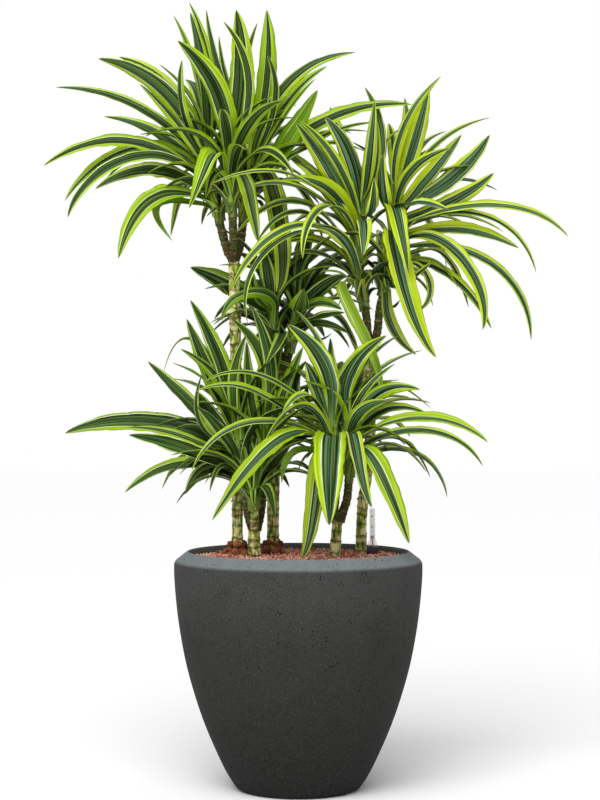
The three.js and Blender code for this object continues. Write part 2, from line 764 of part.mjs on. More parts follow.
// One clay ball: the k-th of a ring round a foot.
function pebble(foot, f, ring, r, k) {
  const { turnStep, sizeStep, roll } = PEBBLE;
  const angle = (k + turnStep.foot * f + turnStep.ring * r) / ring.count * Math.PI * 2;
  const share = (k * sizeStep.ball + f * sizeStep.foot + r * sizeStep.ring) % 1;
  const size = PEBBLE.radius * (PEBBLE.smallest + PEBBLE.spread * share);
  const ball = new THREE.IcosahedronGeometry(size, 0);
  ball.scale(...PEBBLE.shape).rotateZ(k * roll.upright + f).rotateX(k * roll.level);
  const across = foot.x + ring.reach * Math.cos(angle);
  const behind = foot.y + ring.reach * Math.sin(angle);
  return solid(ball.translate(across, behind, SOIL.height + size * ring.lift));
}

// Large clay balls heaped round the feet of the two canes at the back, lying on the granulate.
function pebblesBody() {
  const bodies = [];
  const bottom = SOIL.height + SOIL.grain + CLEARANCE;
  ["a", "c"].forEach((name, f) => {
    const foot = lineAt(canePath(name), SOIL.height);
    const mound = turned(PEBBLE.mound, PEBBLE.moundSides);
    bodies.push(solid(mound.translate(foot.x, foot.y, bottom)));
    PEBBLE.rings.forEach((ring, r) => {
      for (let k = 0; k < ring.count; k += 1) {
        bodies.push(pebble(foot, f, ring, r, k));
      }
    });
  });
  const ground = new THREE.BoxGeometry(2 * SOIL.radius, 2 * SOIL.radius, 4 * PEBBLE.radius);
  const below = solid(ground.translate(0, 0, bottom - 2 * PEBBLE.radius));
  return join(bodies).subtract(join([below, caneHole("a"), caneHole("c")]));
}

// ---------------------------------------------------------------- the water gauge

// The guide that stands in the granulate, with its cap on top and the float's bore down its middle.
function gaugeCap() {
  const g = GAUGE;
  const profile = [[0, g.shaftFoot], [g.shaftRadius, g.shaftFoot], [g.shaftRadius, g.capFoot],
    [g.capRadius, g.capFoot], [g.capRadius, g.capTop - g.bevel], [g.capRadius - g.bevel, g.capTop],
    [g.boreRadius, g.capTop], [g.boreRadius, g.shaftFoot + g.shaftFloor], [0, g.shaftFoot + g.shaftFloor]];
  return turned(profile, g.sides);
}

// The clear sight tube on a flared foot, closed at its top.
function gaugeTube() {
  const g = GAUGE;
  const foot = g.capTop + CLEARANCE;
  const profile = [[g.tubeBore, foot], [g.flareRadius, foot], [g.flareRadius, foot + g.flareRise],
    [g.tubeRadius, g.flareTop], [g.tubeRadius, g.tubeTop - g.bevel], [g.tubeRadius - g.bevel, g.tubeTop],
    [0, g.tubeTop], [0, g.tubeTop - g.tubeRoof], [g.tubeBore, g.tubeTop - g.tubeRoof - g.bevel],
    [g.tubeBore, foot]];
  return turned(profile, g.sides);
}

// The float at the foot of the bore, and its rod up to the marker in the tube.
function gaugeFloat() {
  const g = GAUGE;
  const foot = g.shaftFoot + g.shaftFloor + CLEARANCE;
  const top = foot + g.floatLength;
  const profile = [[0, foot], [g.floatRadius, foot + g.bevel], [g.floatRadius, top],
    [g.rodRadius, top + g.bevel], [g.rodRadius, g.tipHeight - g.tipRadius],
    [g.tipRadius, g.tipHeight - g.bevel], [g.tipRadius, g.tipHeight + g.bevel],
    [0, g.tipHeight + g.tipRadius]];
  return turned(profile, g.floatSides);
}

// The space that the guide and its cap take up in the granulate.
function gaugeHole(spot) {
  const g = GAUGE;
  const shaft = g.shaftRadius + CLEARANCE;
  const cap = g.capRadius + CLEARANCE;
  const shelf = g.capFoot - CLEARANCE;
  const foot = g.shaftFoot - CLEARANCE;
  const profile = [[0, foot], [shaft, foot], [shaft, shelf], [cap, shelf], [cap, g.tubeTop], [0, g.tubeTop]];
  return solid(turned(profile, g.sides).translate(spot.x, spot.y, 0));
}

// ---------------------------------------------------------------- assembly

const plant = new THREE.Group();

function addPiece(name, geometry, material, spot = new THREE.Vector3()) {
  const mesh = new THREE.Mesh(geometry, material);
  mesh.name = name;
  mesh.position.set(spot.x, spot.y, 0);
  plant.add(mesh);
}

const caneNames = Object.keys(CANES);
const gaugeSpot = place([GAUGE.across, SOIL.height, GAUGE.depth]);
const soilHoles = join([...caneNames.map(caneHole), gaugeHole(gaugeSpot)]);

addPiece("pot", makePot(), FINISH.pot);
addPiece("granulate", geometryOf(granulateBody().subtract(soilHoles)), FINISH.granulate);
addPiece("pebbles", geometryOf(pebblesBody()), FINISH.pebbles);
for (const name of caneNames) {
  addPiece("cane_" + name, geometryOf(caneBody(name)), FINISH.wood);
}
for (const [name, shoots] of Object.entries(HEADS)) {
  addPiece("leaves_" + name, geometryOf(headBody(shoots)), FINISH.leaf);
}
addPiece("gauge_cap", gaugeCap(), FINISH.cap, gaugeSpot);
addPiece("gauge_tube", gaugeTube(), FINISH.tube, gaugeSpot);
addPiece("gauge_float", gaugeFloat(), FINISH.float, gaugeSpot);

export default plant;
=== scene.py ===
"""A potted dracaena: five cut canes with heads of long striped leaves, in a round planter.

Driving dimensions are millimetres, as they would be measured on the plant. Meshes are in metres,
+Z up, with the origin in the middle of the planter's flat base and the front of the plant
towards -Y.
"""

import logging
import math
from dataclasses import dataclass, field
from enum import Enum
from typing import Sequence, Union

import bmesh
import bpy
import numpy as np
from mathutils import Matrix, Vector


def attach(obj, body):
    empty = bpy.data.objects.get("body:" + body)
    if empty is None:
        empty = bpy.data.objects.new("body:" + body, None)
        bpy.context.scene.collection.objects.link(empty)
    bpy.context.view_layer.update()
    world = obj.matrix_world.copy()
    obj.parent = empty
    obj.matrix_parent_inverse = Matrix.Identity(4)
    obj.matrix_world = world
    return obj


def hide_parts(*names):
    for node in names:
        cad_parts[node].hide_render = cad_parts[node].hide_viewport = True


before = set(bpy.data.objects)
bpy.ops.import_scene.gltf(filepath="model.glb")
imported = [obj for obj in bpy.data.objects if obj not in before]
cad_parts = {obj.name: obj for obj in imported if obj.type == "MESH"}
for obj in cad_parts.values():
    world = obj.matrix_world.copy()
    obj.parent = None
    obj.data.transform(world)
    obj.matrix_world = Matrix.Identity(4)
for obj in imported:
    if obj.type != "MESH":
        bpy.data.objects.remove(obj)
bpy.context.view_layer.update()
MM = 0.001
DOUBLE_WITHIN = 0.002 * MM
SLIVER_WITHIN = 0.001 * MM
GOLDEN = 0.618
VECTOR = "FLOAT_VECTOR"

log = logging.getLogger("dracaena")


# ---------------------------------------------------------------- the plant's layout

@dataclass(frozen=True)
class Wood:
    """A cut cane: the radius of its wood, and the points that it passes from the granulate up."""

    radius: float
    path: list[list[float]]


@dataclass(frozen=True)
class Shoot:
    """A shoot: its cane, the height where its leaves begin, and the points that it passes."""

    cane: str
    leafy: float
    path: list[list[float]]


@dataclass(frozen=True)
class LeafRule:
    """Leaves laid out by rule, from the lowest up, each with a rising half and a drooping half.

    The slopes of the halves (rise and fall) and the age change evenly from the lowest leaf to the
    highest. Azimuth, reach (the length of a half) and width are scattered between their two ends.
    Angles are degrees, lengths are mm.
    """

    count: int
    azimuth: tuple[float, float]
    rise: tuple[float, float]
    fall: tuple[float, float]
    reach: tuple[float, float]
    width: tuple[float, float]
    age: tuple[float, float]
    chance: float
    turn_start: float = 0.0
    turn_by_foot: float = 0.0
    reach_step: float = 0.43
    reach_by_foot: float = 0.0
    width_step: float = 0.73


def far(count: int, start: float, end: float, length: float) -> LeafRule:
    """Gives the rule of the leaves on a shoot's far side.

    Args:
        count: How many there are.
        start: Where their sector starts, in degrees from the right towards the back.
        end: Where it ends.
        length: How long the longest of them may be.

    Returns:
        The rule.
    """
    reach = (length / 2, length * 0.375)
    return LeafRule(count, (start, end), (22, 62), (-58, 37), reach, (24, 33), (0.0, 1.0), 0.17,
                    turn_start=0.3, reach_step=0.37)


# The plant is laid out as it looks from the front: across, up and depth behind the planter's axis.
EYE_DISTANCE = 3400.0
EYE_ACROSS = 3.0
EYE_HEIGHT = 674.0
SOIL_HEIGHT = 400.0
CANE_BURIED = 95.0
GAUGE_SPOT = (131.965, 80.0)

CANES = {
    "a": Wood(9.8, [[-106, 400, 60], [-106, 560, 58], [-109, 760, 57], [-112, 932, 55]]),
    "b": Wood(10.8, [[-76, 400, 10], [-77, 430, 10], [-76, 464, 10]]),
    "c": Wood(10.8, [[-44, 400, 85], [-42, 545, 85], [-33, 650, 85], [-26, 717, 85],
                     [-25, 744, 85]]),
    "d": Wood(9.3, [[64, 400, 5], [66, 440, 5], [70, 480, 5]]),
    "e": Wood(9.6, [[109, 400, 120], [113, 500, 120], [121, 552, 120], [125, 608, 120],
                    [124, 674, 120], [123, 730, 118], [126, 780, 118]]),
}

SHOOTS = {
    "a1": Shoot("a", 986, [[-114, 915, 55], [-122, 932, 55], [-137, 985, 50], [-150, 1050, 45],
                    [-160, 1116, 40]]),
    "a2": Shoot("a", 1000, [[-112, 915, 52], [-112, 932, 44], [-114, 985, 24], [-118, 1050, 14],
                    [-122, 1116, 8]]),
    "a3": Shoot("a", 984, [[-110, 915, 57], [-104, 932, 65], [-96, 985, 75], [-88, 1050, 80],
                    [-80, 1126, 85]]),
    "b1": Shoot("b", 508, [[-80, 448, 10], [-86, 468, 10], [-91, 505, 10], [-98, 560, 10],
                    [-104, 628, 12]]),
    "b2": Shoot("b", 512, [[-72, 448, 12], [-66, 474, 16], [-62, 510, 20], [-59, 560, 24],
                    [-61, 630, 28]]),
    "b3": Shoot("b", 486, [[-76, 448, 6], [-76, 474, -4], [-77, 496, -10], [-77, 522, -13]]),
    "c1": Shoot("c", 756, [[-27, 728, 85], [-31, 745, 85], [-41, 790, 82], [-48, 858, 78]]),
    "c2": Shoot("c", 756, [[-23, 728, 85], [-19, 745, 86], [-7, 790, 90], [3, 862, 94]]),
    "d1": Shoot("d", 548, [[67, 462, 5], [63, 478, 4], [64, 500, 3], [67, 545, 2], [60, 600, 0],
                    [55, 655, -2]]),
    "d2": Shoot("d", 540, [[73, 462, 6], [77, 478, 8], [84, 500, 9], [88, 540, 10], [87, 600, 10],
                    [83, 656, 10]]),
    "e1": Shoot("e", 838, [[124, 762, 118], [121, 790, 116], [117, 830, 112], [108, 870, 110],
                    [104, 905, 110], [107, 950, 108], [112, 1024, 106]]),
    "e2": Shoot("e", 862, [[130, 762, 118], [137, 790, 118], [142, 835, 118], [150, 868, 118],
                    [158, 900, 118], [165, 945, 116], [171, 1036, 114]]),
}

# Each head has its own shoot, but for the one that the two shoots of cane d share.
HEADS = {name: [name] for name in "a1 a2 a3 b1 b2 b3 c1 c2 d e1 e2".split()}
HEADS["d"] = ["d1", "d2"]

# The leaves in view, lowest first: width, facing in degrees, and the spots that the midrib passes.
LEAVES = {
    "a1": [
        [10, 40, -140, 1008, 30, -160, 993, 20],
        [18, 50, -205, 1020, 40, -240, 1016, 20, -219, 951, -10],
        [40, 55, -241, 1029, -20, -313, 920, -90], [42, 45, -256, 1072, 30, -353, 1041, 20],
        [28, 50, -255, 1098, 20, -348, 1066, -20, -401, 992, -60],
        [28, 55, -260, 1116, 80, -341, 1089, 95, -406, 1021, 95],
        [34, 50, -312, 1124, 60, -444, 1081, 60], [27, 50, -258, 1145, 110, -338, 1167, 150],
        [38, -55, -246, 1221, 0, -348, 1268, -40], [18, 60, -215, 1160, 20, -276, 1224, 0],
        [20, 60, -290, 1190, 45, -422, 1218, 25], [30, 60, -237, 1229, 70, -312, 1271, 100],
        [30, 40, -203, 1187, -40, -202, 1266, -80], [14, 60, -180, 1255, 70, -217, 1343, 90],
        [26, 60, -163, 1245, 25, -188, 1348, 5], [18, 60, -156, 1262, 60, -190, 1366, 85],
    ],
    "a2": [
        [30, 20, -100, 1066, -30, -84, 1020, -62, -70, 950, -72],
        [40, 15, -140, 1100, -25, -156, 1095, -92, -190, 1007, -120],
        [26, 40, -62, 1108, -40, -8, 1066, -90], [32, -20, -78, 1160, -45, -27, 1195, -110],
        [44, 70, -145, 1224, -25, -210, 1299, -60], [20, 60, -88, 1250, -20, -130, 1332, -40],
        [46, 70, -98, 1236, 5, -108, 1353, -5],
    ],
    "a3": [
        [44, 30, -64, 1072, 44, -37, 1000, 24, -38, 862, 12], [14, 50, 40, 1120, 60, 118, 1105, 80],
        [44, 50, 2, 1155, 58, 34, 1213, 24], [15, 50, 60, 1140, 130, 140, 1157, 170],
        [20, 60, -88, 1148, 40, -76, 1222, 30], [36, 50, 72, 1170, 90, 198, 1188, 100],
        [12, 60, -5, 1195, 50, 30, 1233, 30], [14, 50, 40, 1138, 205, 125, 1141, 255],
        [24, 60, 5, 1245, 70, 99, 1279, 60], [20, 60, -5, 1212, 120, 51, 1255, 160],
        [16, 60, -40, 1222, 60, -55, 1276, 40], [37, 70, -54, 1245, 80, -55, 1353, 90],
        [14, 60, -90, 1262, 110, -71, 1330, 130], [16, 60, -140, 1250, 120, -160, 1353, 160],
        [12, 60, -125, 1230, 130, -138, 1307, 180],
    ],
    "b1": [
        [12, 45, -132, 560, -12, -154, 514, -20], [32, 50, -150, 556, 10, -197, 510, 0],
        [28, 50, -210, 562, 24, -302, 513, 20], [36, 50, -208, 592, -24, -295, 613, -50],
        [18, 45, -215, 616, 34, -297, 626, 40],
        [46, 60, -190, 620, 84, -310, 635, 100, -406, 616, 110],
        [24, 60, -140, 625, -30, -176, 662, -60], [27, 60, -190, 672, 44, -262, 741, 54],
        [36, 60, -150, 642, 0, -178, 690, -16], [12, -50, -172, 640, -45, -168, 718, -66],
        [22, -60, -142, 712, 26, -205, 763, 16],
        [12, 50, -150, 745, 96, -193, 781, 130, -235, 718, 150],
        [30, 60, -162, 735, 44, -194, 815, 60], [32, 60, -133, 738, 12, -188, 848, 24],
        [22, 60, -113, 712, 0, -90, 788, -16],
    ],
    "b2": [
        [22, 60, -42, 566, 10, -6, 610, 20], [14, 60, -70, 560, -10, -70, 612, -24],
        [24, 60, -84, 700, 20, -90, 776, 30], [20, 60, -70, 690, 40, -60, 752, 52],
        [26, 60, -26, 690, 20, 8, 766, 34], [26, 60, -50, 745, 10, -82, 838, -4],
        [28, 60, -57, 735, 16, -117, 816, -8],
    ],
    "b3": [
        [10, 30, -89, 514, -24, -99, 523, -32], [21, 30, -60, 524, -34, -41, 468, -48],
        [12, 20, -79, 516, -36, -77, 482, -40],
    ],
    "c1": [
        [10, 50, -100, 822, 112, -153, 808, 122], [24, 40, -30, 784, 10, -57, 735, -16],
        [28, 50, -56, 800, 30, -85, 840, 0], [10, 60, -100, 838, 96, -137, 880, 104],
        [26, 45, -50, 856, 40, -98, 858, 8, -133, 812, -6],
        [44, 60, -118, 872, 124, -188, 905, 140], [22, 60, -70, 850, 66, -79, 900, 54],
        [16, 60, -38, 880, 100, -58, 945, 110], [28, 60, -51, 880, 56, -64, 948, 44],
    ],
    "c2": [
        [20, -50, -28, 768, 44, -44, 695, 30], [6, 50, 35, 778, 104, 58, 790, 124],
        [20, 50, 42, 806, 60, 87, 790, 50], [26, 50, 42, 820, 30, 81, 826, 8],
        [30, 50, 36, 843, 60, 76, 831, 46], [32, -60, 38, 866, 84, 80, 892, 80],
        [40, -55, 1, 832, 56, 9, 868, 32], [20, 60, 28, 880, 116, 63, 890, 136],
        [36, 60, -17, 866, 108, -9, 920, 116],
    ],
    "d1": [
        [37, 20, 46, 590, -50, 31, 514, -92, 6, 398, -104], [18, 40, -6, 584, -20, -29, 530, -40],
        [10, 40, -8, 606, 34, -45, 587, 52], [48, 20, 8, 618, -60, -54, 586, -112, -150, 464, -132],
        [18, 40, -4, 630, 44, -48, 602, 58], [58, 10, 56, 610, -82, 54, 566, -132, 54, 456, -146],
        [16, 50, -20, 634, -14, -115, 626, -56, -186, 550, -74],
        [22, -40, 2, 664, -64, -60, 598, -90], [22, 30, 10, 684, -50, -28, 650, -88],
        [18, 50, -20, 658, -4, -100, 698, -60, -178, 689, -96], [14, 60, 15, 676, 50, 17, 703, 74],
        [26, 60, -8, 694, 36, 14, 742, 54], [13, 45, -15, 690, -6, -90, 722, -48, -168, 704, -74],
        [34, 60, 35, 694, -16, 13, 740, -24], [38, 60, 46, 734, -34, -20, 806, -60],
        [12, 60, 42, 764, 16, -6, 832, -2],
    ],
    "d2": [
        [16, 45, 150, 588, 34, 212, 577, 54, 259, 505, 64],
        [28, 20, 96, 614, -56, 107, 560, -98, 128, 487, -112],
        [40, 20, 116, 588, -50, 151, 534, -92, 193, 424, -104],
        [20, 45, 150, 612, 0, 246, 616, 0, 321, 559, 0],
        [30, 45, 150, 632, -40, 245, 641, -64, 330, 600, -84], [24, 50, 160, 660, 54, 223, 651, 64],
        [28, -60, 112, 655, -44, 157, 673, -80], [30, 55, 148, 690, -20, 212, 692, -50],
        [12, 45, 148, 702, 84, 232, 658, 116], [13, 60, 119, 694, -50, 168, 737, -76],
        [20, 60, 60, 726, 60, 56, 782, 82], [26, 60, 98, 692, 40, 117, 745, 58],
        [8, 60, 108, 735, 66, 86, 788, 76], [34, 60, 90, 722, -20, 153, 786, -56],
    ],
    "e1": [
        [8, 50, 80, 862, 84, 52, 845, 66], [10, 50, 70, 896, 60, 38, 897, 36],
        [14, 50, 32, 930, 56, -35, 916, 16], [24, -55, 76, 872, 44, 112, 792, 8, 142, 684, -4],
        [12, 50, 45, 909, 84, -2, 877, 84], [18, 50, 36, 950, 90, -47, 940, 92],
        [24, 50, 68, 962, 40, 22, 975, -10], [14, 40, 20, 968, 20, -62, 925, -30, -88, 808, -60],
        [26, 40, 35, 976, 10, -45, 958, -74, -116, 868, -120],
        [22, 45, -12, 1020, 30, -108, 965, -6], [16, 45, -12, 1000, 24, -72, 948, -20],
        [22, 35, 58, 1012, 16, 20, 986, -52, 8, 920, -82],
        [28, 20, 113, 986, 56, 116, 966, 20, 112, 924, 2], [28, 50, 42, 1052, 60, -16, 1096, 80],
        [14, 50, -20, 1068, -50, -155, 1049, -140], [20, 45, -20, 1050, 10, -105, 1035, -50],
        [32, 50, 50, 1046, 40, -28, 1058, -20], [18, 50, -12, 1100, 190, -98, 1132, 250],
        [34, 60, 38, 1100, 44, -5, 1157, 14], [20, 60, 47, 1118, 30, 2, 1160, 10],
        [34, 60, 83, 1112, 60, 45, 1167, 30], [30, 60, 80, 1112, 150, 55, 1184, 180],
        [27, 60, 128, 1000, 60, 132, 1062, 40], [24, 60, 125, 1100, 50, 133, 1195, 20],
        [22, -60, 144, 1132, 104, 116, 1218, 104], [14, 60, 137, 1085, 20, 137, 1160, -20],
    ],
    "e2": [
        [24, 50, 169, 792, 86, 205, 753, 64], [12, 50, 162, 834, 160, 177, 848, 176],
        [16, 40, 212, 905, 64, 230, 868, 42, 202, 825, 24], [26, 50, 176, 872, 40, 234, 916, 20],
        [10, 40, 212, 880, 116, 234, 837, 124], [8, 50, 232, 918, 100, 278, 868, 90],
        [10, 50, 232, 908, 190, 275, 880, 222], [8, 50, 205, 931, 128, 232, 936, 140],
        [26, 50, 259, 893, 140, 336, 798, 150], [32, 50, 215, 960, 90, 288, 915, 52, 321, 796, 34],
        [26, 50, 260, 940, 150, 351, 899, 172, 405, 778, 184],
        [14, 40, 240, 962, 200, 258, 895, 240],
        [45, 20, 166, 962, 24, 188, 866, -34, 240, 748, -52],
        [36, 15, 165, 1012, 54, 174, 986, -14, 192, 893, -44], [34, 50, 290, 970, 90, 384, 938, 92],
        [14, 50, 275, 996, 184, 358, 966, 224],
        [18, 50, 250, 1000, 140, 345, 986, 162, 414, 895, 166],
        [23, 50, 290, 1010, 60, 398, 1004, 40, 470, 958, 20],
        [30, 60, 196, 1018, 0, 262, 1005, -70], [38, 50, 288, 1029, 144, 340, 1069, 170],
        [30, 60, 148, 1030, 60, 148, 1104, 50], [30, -55, 230, 1068, 50, 284, 1136, 10],
        [22, 60, 206, 1082, 14, 267, 1113, -40], [40, 60, 262, 1054, 90, 333, 1135, 60],
        [12, 60, 256, 1131, 124, 333, 1165, 114], [20, 60, 180, 1136, 84, 248, 1237, 84],
        [34, 60, 207, 1136, 130, 227, 1217, 132], [26, 60, 188, 1112, 176, 185, 1200, 200],
    ],
}

# The leaves that the photo does not show one by one: on the far side of a shoot, inside a head,
# and below it, where each cane has its own number of small old ones.
FAR_LEAVES = {
    "a1": far(4, 95, 165, 270),
    "a2": far(3, -125, -70, 150),
    "a3": far(6, 20, 110, 270),
    "b1": far(3, 138, 168, 220),
    "c1": far(4, 85, 140, 200),
    "c2": far(5, 25, 100, 240),
    "d1": far(4, 72, 118, 170),
    "d2": far(4, 12, 46, 200),
    "e1": far(5, 95, 170, 260),
    "e2": far(6, 15, 100, 270),
}
INNER_LEAVES = LeafRule(12, (-30, 210), (30, 76), (-40, 51), (62, 96), (25, 35), (0.0, 0.8), 0.41,
                        turn_by_foot=0.37, reach_by_foot=0.11)
SKIRT_LEAVES = {
    cane: LeafRule(count, (0, 360), (30, 55), (-55, -25), (32, 54), (14, 22), (-0.3, 0.0), 0.77,
                   turn_by_foot=0.23, reach_by_foot=0.17)
    for cane, count in (("a", 4), ("b", 1), ("c", 2), ("d", 3), ("e", 8))}


def place(spot: Sequence[float]) -> np.ndarray:
    """Turns a spot as it looks from the front into a point of the plant.

    Args:
        spot: Across, up and depth, in mm.

    Returns:
        The point, in mm.
    """
    across, up, depth = spot
    spread = (EYE_DISTANCE + depth) / EYE_DISTANCE
    x = EYE_ACROSS + (across - EYE_ACROSS) * spread
    z = EYE_HEIGHT + (up - EYE_HEIGHT) * spread
    return np.array([x, depth, z])


def line_at(points: np.ndarray, height: float) -> np.ndarray:
    """Finds where a rising line of points reaches a height.

    Args:
        points: The line's points, from the lowest up.
        height: The height to reach.

    Returns:
        The point of the line at that height.
    """
    step = 1
    while step < len(points) - 1 and points[step][2] < height:
        step += 1
    low, high = points[step - 1], points[step]
    return low + (high - low) * (height - low[2]) / (high[2] - low[2])


def bent(points: np.ndarray, slope: np.ndarray, at: np.ndarray | int, gap: np.ndarray | float,
         t: np.ndarray) -> np.ndarray:
    """Follows smooth curves that pass from one point to the next at set slopes.

    Args:
        points: The points.
        slope: The slope at each of them.
        at: The point that a stretch starts from, by number.
        gap: How long that stretch is.
        t: How far along its stretch each wanted point lies, from 0 to 1.

    Returns:
        The wanted points.
    """
    start = (1 + 2 * t) * (1 - t) ** 2 * points[at] + t * (1 - t) ** 2 * gap * slope[at]
    end = t * t * (3 - 2 * t) * points[at + 1] + t * t * (t - 1) * gap * slope[at + 1]
    return start + end


def sway(points: np.ndarray, heights: np.ndarray) -> np.ndarray:
    """Follows a rising line of points smoothly.

    Args:
        points: The line's points, from the lowest up.
        heights: The heights to give points at.

    Returns:
        A point of the smooth line for each height.
    """
    level = points[:, 2]
    slope = np.gradient(points, level, axis=0)
    at = np.clip(np.searchsorted(level, heights) - 1, 0, len(points) - 2)
    gap = (level[at + 1] - level[at])[:, None]
    return bent(points, slope, at, gap, (heights - level[at])[:, None] / gap)


def smooth(value: np.ndarray | float, low: float, high: float) -> np.ndarray | float:
    """Rises smoothly from 0 at low to 1 at high."""
    share = np.clip((value - low) / (high - low), 0.0, 1.0)
    return share * share * (3 - 2 * share)


def mixed(ends: tuple[float, float], share: float) -> float:
    """Gives what lies so far from the first end towards the second."""
    return ends[0] + (ends[1] - ends[0]) * share


def scattered(k: int, step: float, offset: float = 0.0) -> float:
    """Gives the k-th of a row of numbers spread over 0 to 1."""
    return (k * step + offset) % 1


def unit(vectors: np.ndarray) -> np.ndarray:
    """Scales each vector to length 1."""
    return vectors / np.maximum(np.linalg.norm(vectors, axis=-1, keepdims=True), 1e-9)


def cane_path(name: str) -> np.ndarray:
    """Gives the line of a cane, from its foot in the granulate to its cut top.

    Args:
        name: The cane's letter.

    Returns:
        The line's points, in mm.
    """
    points = [place(spot) for spot in CANES[name].path]
    foot = points[0].copy()
    foot[2] = SOIL_HEIGHT - CANE_BURIED
    return np.array([foot, *points])


def shoot_path(name: str) -> np.ndarray:
    """Gives the line of a shoot, from inside its cane to its tip, in mm."""
    return np.array([place(spot) for spot in SHOOTS[name].path])


def leafy_from(name: str) -> float:
    """Gives the height where a shoot's leaf sheaths begin, in mm."""
    path = SHOOTS[name].path
    return place([0.0, SHOOTS[name].leafy, path[len(path) // 2][2]])[2]


# ---------------------------------------------------------------- node trees

Value = Union["Wire", float, int, str, Sequence[float], bpy.types.ID, None]


class Wire:
    """An output of a node, on which Python's arithmetic adds Math nodes."""

    def __init__(self, nodes: "Nodes", socket: bpy.types.NodeSocket | None) -> None:
        """Keeps the tree's builder and the socket."""
        self.nodes = nodes
        self.socket = socket

    def also(self, name: str) -> "Wire":
        """Gives another output of the same node."""
        return Wire(self.nodes, self.socket.node.outputs[name])

    def __add__(self, other: Value) -> "Wire":
        """Adds a number or a wire."""
        return self.nodes.math("ADD", self, other)

    def __radd__(self, other: Value) -> "Wire":
        """Adds this wire to a number."""
        return self.nodes.math("ADD", other, self)

    def __sub__(self, other: Value) -> "Wire":
        """Takes away a number or a wire."""
        return self.nodes.math("SUBTRACT", self, other)

    def __rsub__(self, other: Value) -> "Wire":
        """Takes this wire away from a number."""
        return self.nodes.math("SUBTRACT", other, self)

    def __mul__(self, other: Value) -> "Wire":
        """Multiplies by a number or a wire."""
        return self.nodes.math("MULTIPLY", self, other)

    def __truediv__(self, other: Value) -> "Wire":
        """Divides by a number or a wire."""
        return self.nodes.math("DIVIDE", self, other)

    def __rtruediv__(self, other: Value) -> "Wire":
        """Divides a number by this wire."""
        return self.nodes.math("DIVIDE", other, self)

    def __abs__(self) -> "Wire":
        """Drops the sign."""
        return self.nodes.math("ABSOLUTE", self)

    def smooth(self, low: Value, high: Value) -> "Wire":
        """Rises smoothly from 0 at low to 1 at high."""
        values = {0: self, 1: low, 2: high, 3: 0.0, 4: 1.0}
        return self.nodes.add("ShaderNodeMapRange", {"interpolation_type": "SMOOTHSTEP"}, values)

    def fall(self, low: Value, high: Value) -> "Wire":
        """Falls smoothly from 1 at low to 0 at high."""
        return 1.0 - self.smooth(low, high)


class Nodes:
    """A node tree that is filled from Python."""

    def __init__(self, tree: bpy.types.NodeTree) -> None:
        """Takes the tree to fill."""
        self.tree = tree

    def add(self, kind: str, settings: dict[str, object] | None = None,
            values: dict[int | str, Value] | None = None, output: int | str = 0) -> Wire:
        """Adds a node.

        Args:
            kind: The node's type.
            settings: The node's own properties, which are set first.
            values: What goes into its inputs, by number or by name.
            output: The output to hand back, by number or by name.

        Returns:
            That output, or an empty wire where the node has none.
        """
        node = self.tree.nodes.new(kind)
        for key, setting in (settings or {}).items():
            setattr(node, key, setting)
        for key, value in (values or {}).items():
            socket = self._socket(node.inputs, key)
            if isinstance(value, Wire):
                self.tree.links.new(value.socket, socket)
            elif value is not None:
                socket.default_value = value
        return Wire(self, self._socket(node.outputs, output) if node.outputs else None)

    @staticmethod
    def _socket(sockets: bpy.types.bpy_prop_collection, key: int | str) -> bpy.types.NodeSocket:
        """Finds a socket.

        Args:
            sockets: A node's inputs or outputs.
            key: The socket's number, or its name among those in use.

        Returns:
            The socket.
        """
        if isinstance(key, int):
            return sockets[key]
        return next(socket for socket in sockets if socket.name == key and socket.enabled)

    def math(self, operation: str, *numbers: Value) -> Wire:
        """Adds a Math node."""
        return self.add("ShaderNodeMath", {"operation": operation}, dict(enumerate(numbers)))

    def vector(self, x: Value, y: Value, z: Value) -> Wire:
        """Joins three numbers to a vector."""
        return self.add("ShaderNodeCombineXYZ", {}, {0: x, 1: y, 2: z})

    def vector_math(self, operation: str, *values: Value) -> Wire:
        """Adds a Vector Math node."""
        return self.add("ShaderNodeVectorMath", {"operation": operation}, dict(enumerate(values)))

    def scaled(self, vector: Value, factor: Value) -> Wire:
        """Multiplies a vector by a number."""
        return self.add("ShaderNodeVectorMath", {"operation": "SCALE"}, {0: vector, 3: factor})

    def moved(self, vector: Value, way: Value) -> Wire:
        """Adds two vectors."""
        return self.vector_math("ADD", vector, way)

    def axis(self, vector: Value, name: str) -> Wire:
        """Reads a vector's X, Y or Z."""
        return self.add("ShaderNodeSeparateXYZ", {}, {0: vector}, name)

    def noise(self, vector: Value, scale: float, detail: float = 2.0, output: str = "Fac") -> Wire:
        """Adds a noise pattern.

        Args:
            vector: Where the pattern is read.
            scale: How many of its features fit into one unit of the vector.
            detail: How many finer layers it has.
            output: "Fac" for a number, "Color" for three.

        Returns:
            The pattern.
        """
        values = {"Vector": vector, "Scale": scale, "Detail": detail}
        return self.add("ShaderNodeTexNoise", {}, values, output)


